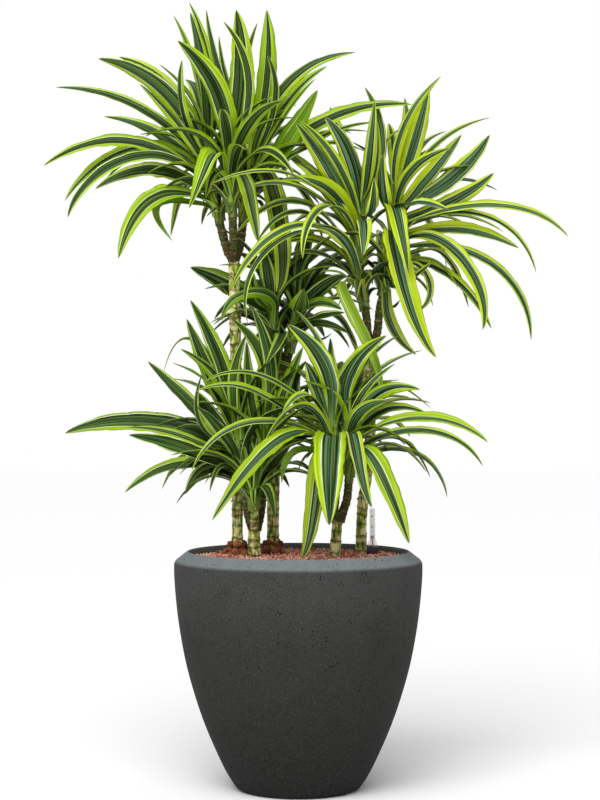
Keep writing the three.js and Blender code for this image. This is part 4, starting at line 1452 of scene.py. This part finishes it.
@dataclass
class Planter:
    """The round planter: a cast bowl with a broad sloping rim."""

    wall: list[tuple[float, float]] = field(default_factory=lambda: [
        (99, 0), (107, 3), (114.8, 12.7), (125.5, 30), (142, 64), (163.6, 115), (181.5, 168),
        (195.8, 221.5), (208.3, 292), (214.9, 358), (215.8, 385), (215, 392), (211.8, 397)])
    lip: list[tuple[float, float]] = field(default_factory=lambda: [
        (211.8, 397), (205.5, 401.9), (199.2, 406.8), (194.4, 410.4), (192.4, 411.6),
        (190.6, 411.4), (190, 410)])
    inside: list[tuple[float, float]] = field(default_factory=lambda: [
        (190, 410), (191.5, 388), (188, 292), (174, 212), (150, 132), (122, 62), (98, 24), (0, 24)])
    sides: int = 160
    wall_steps: int = 6
    lip_steps: int = 3
    inside_steps: int = 4
    finish: Finish = StoneFinish("cast_stone")

    def build(self) -> list[bpy.types.Object]:
        """Spins the bowl.

        Returns:
            The bowl.
        """
        outline = np.concatenate([
            [[0.0, 0.0]],
            rounded(self.wall, self.wall_steps),
            rounded(self.lip, self.lip_steps)[1:],
            rounded(self.inside[:-1], self.inside_steps)[1:],
            [self.inside[-1]]])
        line = carrier("bowl_outline", [profile_line(outline)])
        values = {"Sides": self.sides, "Finish": self.finish.material()}
        bowl = tidied(TurnedPlan().grow(line, "planter_bowl", values))
        return [seat(bowl, Body.PLANTER, Slot.PLANTER, "pot")]


@dataclass
class Granulate:
    """The fill: a body of packed granulate, with loose grains on top."""

    wall: list[tuple[float, float]] = field(default_factory=lambda: [
        (0, 24.3), (97.7, 24.3), (121.7, 62.3), (149.7, 132.3), (173.7, 212.3), (187.7, 292.3),
        (190.6, 388), (190.1, 395), (186, 397.6)])
    reach: float = 188.0
    rings: int = 30
    spokes: int = 72
    sunk: float = 2.4
    clear: float = 3.0
    gauge_radius: float = 11.0
    grain: float = 5.2
    spacing: float = 4.8
    crush: float = 2.0
    seed: int = 11
    finish: Finish = ClayFinish("granulate_clay")
    # Painted shade: the packed body under the grains is coloured far darker than the grains, as
    # shade in the gaps between them.
    depth: Finish = ClayFinish("granulate_gap_shade", dark="#3c1a12", light="#633122")

    def build(self) -> list[bpy.types.Object]:
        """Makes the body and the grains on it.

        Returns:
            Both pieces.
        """
        top = [(self.reach * (1 - k / self.rings), SOIL_HEIGHT - self.sunk)
               for k in range(1, self.rings + 1)]
        line = carrier("fill_outline", [profile_line(np.array([*self.wall, *top]))])
        # The body carries the painted shade of the gaps between the grains.
        values = {"Sides": self.spokes, "Finish": self.depth.material()}
        body = tidied(TurnedPlan().grow(line, "granulate_body", values))
        values = {"Grain Size": self.grain * MM, "Spacing": self.spacing * MM,
                  "Crush": self.crush * MM, "Seed": self.seed, "Finish": self.finish.material()}
        grains = GrainPlan().grow(self.bed(), "granulate_grains", values)
        return [seat(piece, Body.PLANTER, Slot.GRANULATE, "granulate") for piece in (body, grains)]

    def bed(self) -> bpy.types.Object:
        """Lays the disc that the grains lie on.

        Returns:
            A disc at the fill's height, whose points near a cane or the gauge are marked bare.
        """
        feet = [(*line_at(cane_path(name), SOIL_HEIGHT)[:2], wood.radius)
                for name, wood in CANES.items()]
        feet.append((*GAUGE_SPOT, self.gauge_radius))
        work = bmesh.new()
        bmesh.ops.create_circle(
            work, cap_ends=True, radius=self.reach * MM, segments=self.spokes)
        bmesh.ops.poke(work, faces=work.faces)
        bmesh.ops.subdivide_edges(work, edges=work.edges, cuts=self.rings, use_grid_fill=True)
        mesh = kept(work, "bed")
        spots = np.array([vertex.co[:2] for vertex in mesh.vertices]) / MM
        bare = np.zeros(len(spots), np.float32)
        for x, y, radius in feet:
            bare[np.hypot(spots[:, 0] - x, spots[:, 1] - y) < radius + self.clear] = 1.0
        mesh.attributes.new("bare", "FLOAT", "POINT").data.foreach_set("value", bare)
        mesh.transform(Matrix.Translation((0.0, 0.0, SOIL_HEIGHT * MM)))
        return shown("bed", mesh)


@dataclass
class Pebbles:
    """Clay balls heaped against the feet of the two canes at the back."""

    radius: float = 9.5
    shape: tuple[float, float, float] = (1.1, 0.95, 0.85)
    rings: list[tuple[float, int, float, float]] = field(default_factory=lambda: [
        (14, 7, 8, 0.74), (13, 6, 19, 0.68), (19, 8, 3, 0.64)])
    least_size: float = 0.82
    size_spread: float = 0.3
    crush: float = 8.5
    pits: float = 3.0
    # The balls' pores get a near-black painted shade.
    finish: Finish = ClayFinish(
        "pebble_clay", dark="#5f3020", light="#b47350", pore_shade="#1d0c06", grain=300.0)

    def build(self) -> list[bpy.types.Object]:
        """Places the balls by the rule of the heap and shapes them.

        Returns:
            The balls, as one piece.
        """
        points, sizes, turns, chances = [], [], [], []
        for f, name in enumerate("ac"):
            foot = line_at(cane_path(name), SOIL_HEIGHT)
            for r, (reach, count, height, share) in enumerate(self.rings):
                for k in range(count):
                    angle = (k + 0.37 * f + 0.5 * r) / count * 2 * math.pi
                    spread = (k * GOLDEN + 0.2 * f + 0.5 * r) % 1
                    size = self.radius * share * (self.least_size + self.size_spread * spread)
                    way = np.array([math.cos(angle), math.sin(angle), 0.0])
                    up = height + 2 * math.sin(k * 2.1 + r)
                    points.append(foot + way * reach + [0, 0, up])
                    sizes.append(np.array(self.shape) * size * MM)
                    turns.append([k * 0.9, 0.3 * f, k * 1.7 + f])
                    chances.append((k * 0.37 + r * 0.21 + f * 0.11) % 1)
        values = {"size": np.array(sizes), "turn": np.array(turns), "chance": np.array(chances)}
        spots = carrier("pebble_spots", [Line(np.array(points), values)], is_joined=False)
        values = {"Crush": self.crush * MM, "Pits": self.pits * MM,
                  "Finish": self.finish.material()}
        balls = PebblePlan().grow(spots, "clay_pebbles", values)
        return [seat(balls, Body.PLANTER, Slot.PEBBLES, "pebbles")]


# ---------------------------------------------------------------- canes

@dataclass
class Canes:
    """The cut canes, each with the woody feet of its shoots."""

    step: float = 1.1
    sides: int = 28
    shoot_radius: float = 7.0
    cane_gap: float = 15.5
    shoot_gap: float = 7.5
    young: float = 60.0
    young_tone: float = 0.3
    overlap: float = 6.0
    ridge: float = 1.1
    scar: float = 1.6
    # Painted shadow under each ring scar: how far below the scar it lies, and how wide it is.
    shade_drop: float = 2.6
    shade_width: float = 2.2
    bevel: float = 1.2
    top_brown: tuple[float, float] = (24.0, 8.0)
    foot_brown: tuple[float, float] = (14.0, 50.0)
    foot_fade: float = 0.52
    first_scar: float = 0.4
    last_scar: float = 2.0
    swells: tuple[tuple[float, float], ...] = ((0.5, 37.0), (0.35, 13.0))
    swelling: float = 0.6
    bevel_height: float = 1.5
    nub_first: float = 30.0
    nub_last: float = 20.0
    nub_gap: float = 63.0
    nub_turn: float = 2.4
    nub_radius: float = 1.9
    nub_sunk: float = 2.5
    nub_length: float = 5.0
    nub_rings: int = 6
    roughness: float = 1.3
    waver: float = 11.0
    finish: Finish = BarkFinish("cane_bark")

    def build(self) -> list[bpy.types.Object]:
        """Sweeps the wood of every cane.

        Returns:
            A piece for each cane.
        """
        plan = SweepPlan()
        values = {"Sides": self.sides, "Roughness Depth": self.roughness * MM,
                  "Grain Scale": 190.0, "Ring Waver": self.waver * MM,
                  "Finish": self.finish.material()}
        pieces = []
        for name, wood in CANES.items():
            path = cane_path(name)
            lines = [self.wood(path, path[-1][2], wood.radius, self.cane_gap, False)]
            for shoot in (key for key, value in SHOOTS.items() if value.cane == name):
                stem = shoot_path(shoot)
                top = leafy_from(shoot)
                line = self.wood(stem, top + self.overlap, self.shoot_radius, self.shoot_gap, True)
                if stem[-1][2] - top < self.young:
                    line.values["tone"] *= self.young_tone
                lines.append(line)
            lines += self.nubs(path, wood.radius)
            piece = tidied(plan.grow(carrier("wood_lines", lines), "wood_" + name, values))
            pieces.append(seat(piece, Body.PLANTER, Slot.CANE, "cane_" + name))
        return pieces

    def wood(self, path: np.ndarray, high: float, radius: float, gap: float,
             is_shoot: bool) -> Line:
        """Lays out one stretch of wood with its ring scars and the painted shadow under each.

        Args:
            path: The line that it follows from its foot.
            high: Where it ends, in mm.
            radius: Its radius between the scars.
            gap: The usual distance between scars.
            is_shoot: Whether it is a shoot, brown at its foot, or a cane, brown at its top.

        Returns:
            The line to sweep.
        """
        low = path[0][2]
        heights = np.linspace(low, high, int((high - low) / self.step) + 1)
        points = sway(path, heights)
        side, lift = upright_frames(points)
        ring = np.zeros(len(heights))
        scar_shadow = np.zeros(len(heights))
        at = low + self.first_scar * gap
        count = 0
        while at < high - self.last_scar:
            weight = 0.7 + 0.3 * math.sin(count * 3.7 + radius)
            ring = np.maximum(ring, weight * np.exp(-((heights - at) / self.scar) ** 2))
            # Painted shadow band just under the scar.
            away = (heights - at + self.shade_drop) / self.shade_width
            scar_shadow = np.maximum(scar_shadow, np.exp(-(away ** 2)))
            count += 1
            uneven = 1 + 0.36 * math.sin(count * 2.3 + path[0][0]) + 0.2 * math.sin(count * 5.1)
            at += gap * uneven
        swell = sum(size * np.sin((heights - low) / length) for size, length in self.swells)
        girth = radius + swell * self.swelling + ring * self.ridge
        girth = girth - self.bevel * smooth(heights, high - self.bevel_height, high)
        if is_shoot:
            start, end = self.foot_brown
            tone = 1 - self.foot_fade * smooth(heights, low + start, low + end)
        else:
            start, end = self.top_brown
            tone = smooth(heights, high - start, high - end)
        return Line(points, {"side": side, "lift": lift, "girth": girth * MM, "ring": ring,
                             "scar_shadow": scar_shadow, "tone": tone})

    def nubs(self, path: np.ndarray, radius: float) -> list[Line]:
        """Sets a few short stubs of old roots and buds on a cane.

        Args:
            path: The cane's line.
            radius: Its radius.

        Returns:
            The lines to sweep.
        """
        made = []
        high = path[-1][2]
        at, turn = SOIL_HEIGHT + self.nub_first, 0.6
        share = np.linspace(0, 1, self.nub_rings)
        ones = np.ones(len(share))
        girth = self.nub_radius * np.sqrt(1 - share ** 2 * 0.96)
        while at < high - self.nub_last:
            out = np.array([math.cos(turn), math.sin(turn), 0.25])
            reach = radius - self.nub_sunk + share[:, None] * self.nub_length
            points = line_at(path, at) + out * reach
            side = unit(np.cross(out, [0, 0, 1.0]))
            lift = unit(np.cross(side, out))
            made.append(Line(points, {
                "side": np.tile(side, (len(share), 1)), "lift": np.tile(lift, (len(share), 1)),
                "girth": girth * MM, "ring": ones * 0.6, "scar_shadow": ones * 0, "tone": ones}))
            at += self.nub_gap
            turn += self.nub_turn
        return made


# ---------------------------------------------------------------- leaves

@dataclass
class Leaf:
    """One leaf: its midrib's points from the shoot's axis out, its width, and how its face lies."""

    points: np.ndarray
    width: float
    facing: float
    age: float
    chance: float


@dataclass
class Head:
    """A leafy head: the sheathed shoots, and the blades that grow from them.

    The sizes named clasp are of a leaf's foot, which holds on to the shoot; those named core are
    of the shoot inside. Lengths are mm.
    """

    name: str
    finish: Finish
    rows: int = 40
    least_rows: int = 12
    row_length: float = 7.0
    sides: int = 24
    fold: float = 0.6
    tip_fold: float = 0.35
    root_width: float = 0.3
    widest_at: float = 0.45
    taper: float = 0.68
    turning: float = 0.35
    steps: int = 20
    probe: float = 0.01
    evenness: float = 0.8
    thickness: float = 0.9
    least_half: float = 0.22
    groove: float = 0.2
    wave: float = 0.5
    wave_length: float = 26.0
    clasp: float = 8.9
    clasp_cup: float = 1.7
    clasp_drop: float = 15.0
    clasp_rise: float = 30.0
    clasp_reach: float = 46.0
    clasp_most: float = 0.36
    clasp_ease: float = 1.5
    full_width: float = 22.0
    clasp_less: float = 0.8
    root_above: float = 10.0
    root_below: float = 4.0
    skirt_from: float = -8.0
    skirt_to: float = 26.0
    core_lift: float = 0.3
    core_top: float = 8.0
    core_radius: float = 7.6
    core_flare: float = 0.6
    core_flare_height: float = 10.0
    core_thinning: float = 1.8
    core_thin_below_top: float = 16.0
    core_close: float = 0.85
    core_close_height: float = 18.0
    core_ridge: float = 0.5
    core_gap: float = 5.5
    core_step: float = 1.5
    core_roughness: float = 0.8
    core_waver: float = 4.0

    def build(self, blades: BladePlan, sweep: SweepPlan,
              sheath: bpy.types.Material) -> list[bpy.types.Object]:
        """Grows the head.

        Args:
            blades: The plan of the leaves.
            sweep: The plan of the sheathed shoots.
            sheath: The finish of the shoots.

        Returns:
            The foliage and the shoots inside it.
        """
        lines, cores = [], []
        for shoot in HEADS[self.name]:
            stem = shoot_path(shoot)
            lines += [self.line(leaf, stem) for leaf in self.leaves(shoot, stem)]
            cores.append(self.core(shoot, stem))
        values = {"Sides": self.sides, "Thickness": self.thickness * MM, "Groove": self.groove,
                  "Margin Wave": self.wave, "Wave Length": self.wave_length * MM,
                  "Finish": self.finish.material()}
        foliage = blades.grow(carrier("midribs", lines), "foliage_" + self.name, values)
        values = {"Sides": self.sides, "Roughness Depth": self.core_roughness * MM,
                  "Grain Scale": 150.0, "Ring Waver": self.core_waver * MM, "Finish": sheath}
        stems = sweep.grow(carrier("stems", cores), "sheaths_" + self.name, values)
        return [seat(tidied(piece), Body.PLANTER, Slot.LEAF, "leaves_" + self.name)
                for piece in (foliage, stems)]

    def leaves(self, shoot: str, stem: np.ndarray) -> list[Leaf]:
        """Lists a shoot's leaves, those in view first.

        Args:
            shoot: The shoot's name.
            stem: Its line.

        Returns:
            The leaves.
        """
        low = leafy_from(shoot) + self.root_above
        high = stem[-1][2] - self.root_below
        rows = LEAVES[shoot]
        made = []
        for i, (width, facing, *numbers) in enumerate(rows):
            age = (i + 0.5) / len(rows)
            spots = [place(numbers[k:k + 3]) for k in range(0, len(numbers), 3)]
            root = line_at(stem, low + (high - low) * age)
            chance = scattered(i, GOLDEN, width * 0.13)
            made.append(Leaf(np.array([root, *spots]), width, facing, age, chance))
        if shoot in FAR_LEAVES:
            made += self.by_rule(FAR_LEAVES[shoot], stem, low, high)
        made += self.by_rule(INNER_LEAVES, stem, low, high)
        skirt = SKIRT_LEAVES[self.name[0]]
        return made + self.by_rule(skirt, stem, low + self.skirt_from, low + self.skirt_to)

    def by_rule(self, rule: LeafRule, stem: np.ndarray, low: float, high: float) -> list[Leaf]:
        """Lays out leaves by a rule.

        Args:
            rule: The rule.
            stem: The shoot's line.
            low: The height of the lowest root.
            high: The height of the highest root.

        Returns:
            The leaves, from the lowest up.
        """
        across, depth = stem[0][:2]
        turn_start = rule.turn_start + across * rule.turn_by_foot
        reach_start = depth * rule.reach_by_foot
        made = []
        for k in range(rule.count):
            share = (k + 0.5) / rule.count
            turn = math.radians(mixed(rule.azimuth, scattered(k, GOLDEN, turn_start)))
            length = mixed(rule.reach, scattered(k, rule.reach_step, reach_start))
            width = mixed(rule.width, scattered(k, rule.width_step))
            points = [line_at(stem, low + (high - low) * share)]
            for angles in (rule.rise, rule.fall):
                slope = math.radians(mixed(angles, share))
                flat = math.cos(slope)
                way = np.array([math.cos(turn) * flat, math.sin(turn) * flat, math.sin(slope)])
                points.append(points[-1] + way * length)
            chance = scattered(k, GOLDEN, rule.chance)
            made.append(Leaf(np.array(points), width, 0.0, mixed(rule.age, share), chance))
        return made

    def midrib(self, points: np.ndarray, share: float) -> np.ndarray:
        """Finds a point of the smooth curve through all of a midrib's points.

        Args:
            points: The midrib's points.
            share: How far along the curve, from 0 to 1.

        Returns:
            The point.
        """
        chords = np.linalg.norm(np.diff(points, axis=0), axis=1) ** self.evenness
        at = np.concatenate([[0.0], np.cumsum(chords)]) / chords.sum()
        total = np.zeros(3)
        for i, point in enumerate(points):
            others = [j for j in range(len(points)) if j != i]
            total += point * math.prod((share - at[j]) / (at[i] - at[j]) for j in others)
        return total

    def frames(self, leaf: Leaf) -> np.ndarray:
        """Finds the way across a blade, step by step along it.

        It leaves the shoot level, and rolls until its upper face is turned as far towards its
        facing as it can be.

        Args:
            leaf: The leaf.

        Returns:
            The way across it at each step.
        """
        angle = math.radians(leaf.facing)
        hint = np.array([0.0, -math.sin(angle), math.cos(angle)])

        def direction(share: float) -> np.ndarray:
            """Gives the way that the midrib runs."""
            ahead = self.midrib(leaf.points, share + self.probe)
            return unit(ahead - self.midrib(leaf.points, share - self.probe))

        level = -np.cross([0.0, 0.0, 1.0], direction(0.0))
        roll = 0.0
        sides = []
        for k in range(self.steps + 1):
            way = direction(k / self.steps)
            level = unit(level - way * level.dot(way))
            up = np.cross(way, level)
            wanted = np.cross(way, hint)
            aim = math.atan2(wanted.dot(up), wanted.dot(level))
            nearest = aim + math.pi * round((roll - aim) / math.pi)
            roll += (nearest - roll) * self.turning * wanted.dot(wanted)
            sides.append(level * math.cos(roll) + up * math.sin(roll))
        return np.array(sides)

    def line(self, leaf: Leaf, stem: np.ndarray) -> Line:
        """Lays out a leaf's midrib, with all that its blade needs.

        Its foot clasps the shoot and runs up along it before the blade bends out.

        Args:
            leaf: The leaf.
            stem: Its shoot's line.

        Returns:
            The line to sweep.
        """
        span = np.linalg.norm(np.diff(leaf.points, axis=0), axis=1).sum()
        rows = min(self.rows, self.least_rows + int(span / self.row_length))
        share = np.linspace(0, 1, rows + 1)
        ribs = np.array([self.midrib(leaf.points, t) for t in share])
        length = np.linalg.norm(np.diff(ribs, axis=0), axis=1).sum()
        freed = min(self.clasp_most, self.clasp_reach / length)
        root = leaf.points[0]
        out = self.midrib(leaf.points, freed) - root
        out[2] = 0.0
        out = unit(out)
        heights = root[2] - self.clasp_drop + self.clasp_rise * share / freed
        axis = np.array([line_at(stem, height) for height in heights])
        snug = self.clasp - self.clasp_less * leaf.age
        held = 1 - smooth(share, 0.0, freed)
        points = ribs + (axis + out * snug - ribs) * held[:, None]
        direction = unit(np.gradient(points, axis=0))
        steps = np.arange(self.steps + 1)
        across = np.stack([np.interp(share * self.steps, steps, column)
                           for column in self.frames(leaf).T], axis=1)
        side = unit(across - direction * (across * direction).sum(1, keepdims=True))
        small = min(1.0, leaf.width / self.full_width)
        cup = self.fold + (self.tip_fold - self.fold) * share
        cup = cup + (self.clasp_cup * small - cup) * held ** self.clasp_ease
        half = leaf.width / 2 * self.spread(share)
        half = half + (snug * self.clasp_cup * small - half) * held ** self.clasp_ease
        ones = np.ones(len(share))
        return Line(points, {
            "side": side, "lift": np.cross(side, direction),
            "half": np.maximum(half, self.least_half) * MM, "cup": cup, "along": share,
            "metres": share * length * MM, "chance": ones * leaf.chance, "age": ones * leaf.age})

    def spread(self, share: np.ndarray) -> np.ndarray:
        """Gives how much of its full width a blade has.

        Args:
            share: How far along the blade, from 0 to 1.

        Returns:
            The share of the width: it swells from the root, and narrows to nothing at the tip.
        """
        quarter = math.pi / 2
        rising = np.sin(np.minimum(share / self.widest_at, 1) * quarter)
        rising = self.root_width + (1 - self.root_width) * rising
        falling = np.cos(np.clip((share - self.widest_at) / (1 - self.widest_at), 0, 1) * quarter)
        return np.where(share < self.widest_at, rising, np.maximum(falling, 0) ** self.taper)

    def core(self, shoot: str, stem: np.ndarray) -> Line:
        """Lays out the stem inside the leaf bases.

        Args:
            shoot: The shoot's name.
            stem: Its line.

        Returns:
            The line to sweep.
        """
        low, high = leafy_from(shoot) + self.core_lift, stem[-1][2] + self.core_top
        heights = np.linspace(low, high, int((high - low) / self.core_step) + 2)
        points = sway(stem, np.minimum(heights, stem[-1][2]))
        points[:, 2] = heights
        side, lift = upright_frames(points)
        flared = smooth(heights, low, low + self.core_flare_height)
        thinned = smooth(heights, (low + high) / 2, high - self.core_thin_below_top)
        closed = smooth(heights, high - self.core_close_height, high)
        girth = self.core_radius + self.core_flare * flared - self.core_thinning * thinned
        girth = girth * (1 - self.core_close * closed)
        ring = np.maximum(np.sin(heights * 2 * math.pi / self.core_gap), 0) ** 4
        girth = girth + self.core_ridge * ring
        return Line(points, {"side": side, "lift": lift, "girth": girth * MM, "ring": ring})


# ---------------------------------------------------------------- the water gauge

@dataclass
class Gauge:
    """The water gauge: a dark guide, a clear sight tube, and a float with a red marker.

    The outlines are (radius, height) pairs.
    """

    sides: int = 40
    cap: list[tuple[float, float]] = field(default_factory=lambda: [
        (0, 280), (7.6, 280), (8, 280.6), (8, 396), (10, 396), (10.5, 396.6), (10.5, 412.6),
        (10.2, 413.6), (9.5, 414), (4.2, 414), (4.2, 284), (0, 284)])
    tube: list[tuple[float, float]] = field(default_factory=lambda: [
        (4.3, 414.3), (9.2, 414.3), (9.5, 414.8), (9.3, 417.6), (8.4, 420.2), (6.6, 423.4),
        (5.5, 425.6), (5.2, 427.4), (5.2, 479.8), (4.8, 480.7), (4.2, 481), (0, 481), (0, 479.4),
        (3.9, 479.4), (4.3, 478.4), (4.3, 414.3)])
    marker: list[tuple[float, float]] = field(default_factory=lambda: [
        (0, 284.3), (2.8, 284.5), (3.5, 285.3), (3.5, 313.4), (2.6, 314.6), (1.2, 315.3),
        (1.2, 426.6), (2.3, 427.4), (3, 428.8), (3, 431), (2.3, 432.4), (0, 433)])
    dark: Finish = PlasticFinish("gauge_dark")
    clear: Finish = ClearFinish("gauge_clear")
    red: Finish = PlasticFinish("gauge_red", "#d40c00", "#e42a10", 0.25)

    def build(self) -> list[bpy.types.Object]:
        """Turns the gauge's pieces.

        Returns:
            The guide, the sight tube and the marker.
        """
        guide = self.turned("gauge_guide", self.cap, self.dark)
        tube = self.turned("gauge_sight_tube", self.tube, self.clear)
        marker = self.turned("gauge_marker", self.marker, self.red)
        return [seat(guide, Body.PLANTER, Slot.GAUGE_BODY, "gauge_cap"),
                seat(tube, Body.PLANTER, Slot.GAUGE_GLASS, "gauge_tube"),
                seat(marker, Body.FLOAT, Slot.GAUGE_FLOAT, "gauge_float")]

    def turned(self, name: str, outline: Sequence[tuple[float, float]],
               finish: Finish) -> bpy.types.Object:
        """Turns one piece of the gauge.

        Args:
            name: The piece's name.
            outline: Its outline.
            finish: Its finish.

        Returns:
            The piece.
        """
        line = carrier(name + "_outline", [profile_line(np.array(outline, float))])
        axis = (GAUGE_SPOT[0] * MM, GAUGE_SPOT[1] * MM, 0.0)
        values = {"Sides": self.sides, "Axis": axis, "Finish": finish.material()}
        return tidied(TurnedPlan().grow(line, name, values))


# ---------------------------------------------------------------- the studio

@dataclass
class Studio:
    """A pale floor, soft lights and the camera in front."""

    image: tuple[int, int] = (600, 800)
    focal_pixels: float = 1954.0
    sensor: float = 36.0
    floor: float = 30.0
    tiles: int = 8
    glow: tuple[float, float] = (0.52, 1.0)

    def build(self) -> None:
        """Sets up the camera, the lights, the surroundings and the floor."""
        self.camera()
        self.lights()
        self.surroundings()
        self.ground()

    def camera(self) -> None:
        """Stands the camera at the eye that the plant's layout was taken from."""
        data = bpy.data.cameras.new("camera")
        data.sensor_fit = "VERTICAL"
        data.sensor_height = self.sensor
        data.lens = self.focal_pixels / self.image[1] * self.sensor
        camera = shown("camera", data)
        camera.location = (EYE_ACROSS * MM, -EYE_DISTANCE * MM, EYE_HEIGHT * MM)
        camera.rotation_euler = (math.pi / 2, 0.0, 0.0)
        bpy.context.scene.camera = camera

    def lights(self) -> None:
        """Hangs a broad even light over everything and a large soft one above the front left."""
        for name, kind, spot, aim, size, power in (
                ("sky", "SUN", (-0.5, -2.0, 3.4), (0.0, 0.0, 0.6), math.radians(50), 2.2),
                ("key", "AREA", (-0.7, -2.2, 2.9), (0.0, 0.0, 0.8), 1.4, 22.0)):
            data = bpy.data.lights.new(name, kind)
            if kind == "SUN":
                data.angle = size
            else:
                data.size = size
            data.energy = power
            light = shown(name, data)
            light.location = spot
            way = Vector(aim) - Vector(spot)
            light.rotation_euler = way.to_track_quat("-Z", "Y").to_euler()

    def surroundings(self) -> None:
        """Surrounds the plant with even white, dimmer as a light than it looks."""
        world = bpy.data.worlds.new("studio")
        world.use_nodes = True
        world.node_tree.nodes.clear()
        nodes = Nodes(world.node_tree)
        seen = nodes.add("ShaderNodeLightPath", {}, {}, "Is Camera Ray")
        dim, bright = self.glow
        values = {"Color": (1, 1, 1, 1), "Strength": seen * (bright - dim) + dim}
        glow = nodes.add("ShaderNodeBackground", {}, values)
        nodes.add("ShaderNodeOutputWorld", {}, {"Surface": glow})
        bpy.context.scene.world = world
        bpy.context.scene.view_settings.view_transform = "Standard"

    def ground(self) -> None:
        """Lays the plain pale floor."""
        work = bmesh.new()
        bmesh.ops.create_grid(
            work, x_segments=self.tiles, y_segments=self.tiles, size=self.floor / 2)
        mesh = kept(work, "floor")
        mesh.materials.append(FloorFinish("floor_white").material())
        floor = shown("floor", mesh)


# ---------------------------------------------------------------- the whole plant

def foliage_finishes() -> dict[str, LeafFinish]:
    """Gives each cane's leaves their own greens: the front and right heads are the limest.

    Returns:
        The finish of the leaves, by the cane's letter.
    """
    return {
        "a": LeafFinish("leaf_a", lime="#82a908", bright="#b7d22c", painted_sheen="#4c6842", band=0.5),
        "b": LeafFinish("leaf_b", lime="#749b0a", bright="#acc92c", painted_sheen="#3f5e35", band=0.58),
        "c": LeafFinish("leaf_c", lime="#668d08", bright="#98b820", painted_sheen="#385530", band=0.58),
        "d": LeafFinish("leaf_d", lime="#88a90a", bright="#b9d22a"),
        "e": LeafFinish("leaf_e"),
    }


def main() -> None:
    """Builds the studio and the plant, and works out each piece's triangles."""
    logging.basicConfig(level=logging.INFO, format="%(message)s")
    Studio().build()
    pieces: list[bpy.types.Object] = []
    for assembly in (Planter(), Granulate(), Pebbles(), Canes(), Gauge()):
        pieces += assembly.build()
    finishes = foliage_finishes()
    blades, sweep = BladePlan(), SweepPlan()
    sheath = SheathFinish("leaf_sheath").material()
    for name in HEADS:
        pieces += Head(name, finishes[name[0]]).build(blades, sweep, sheath)
    for piece in pieces:
        piece.data.calc_loop_triangles()


if __name__ == "__main__":
    main()
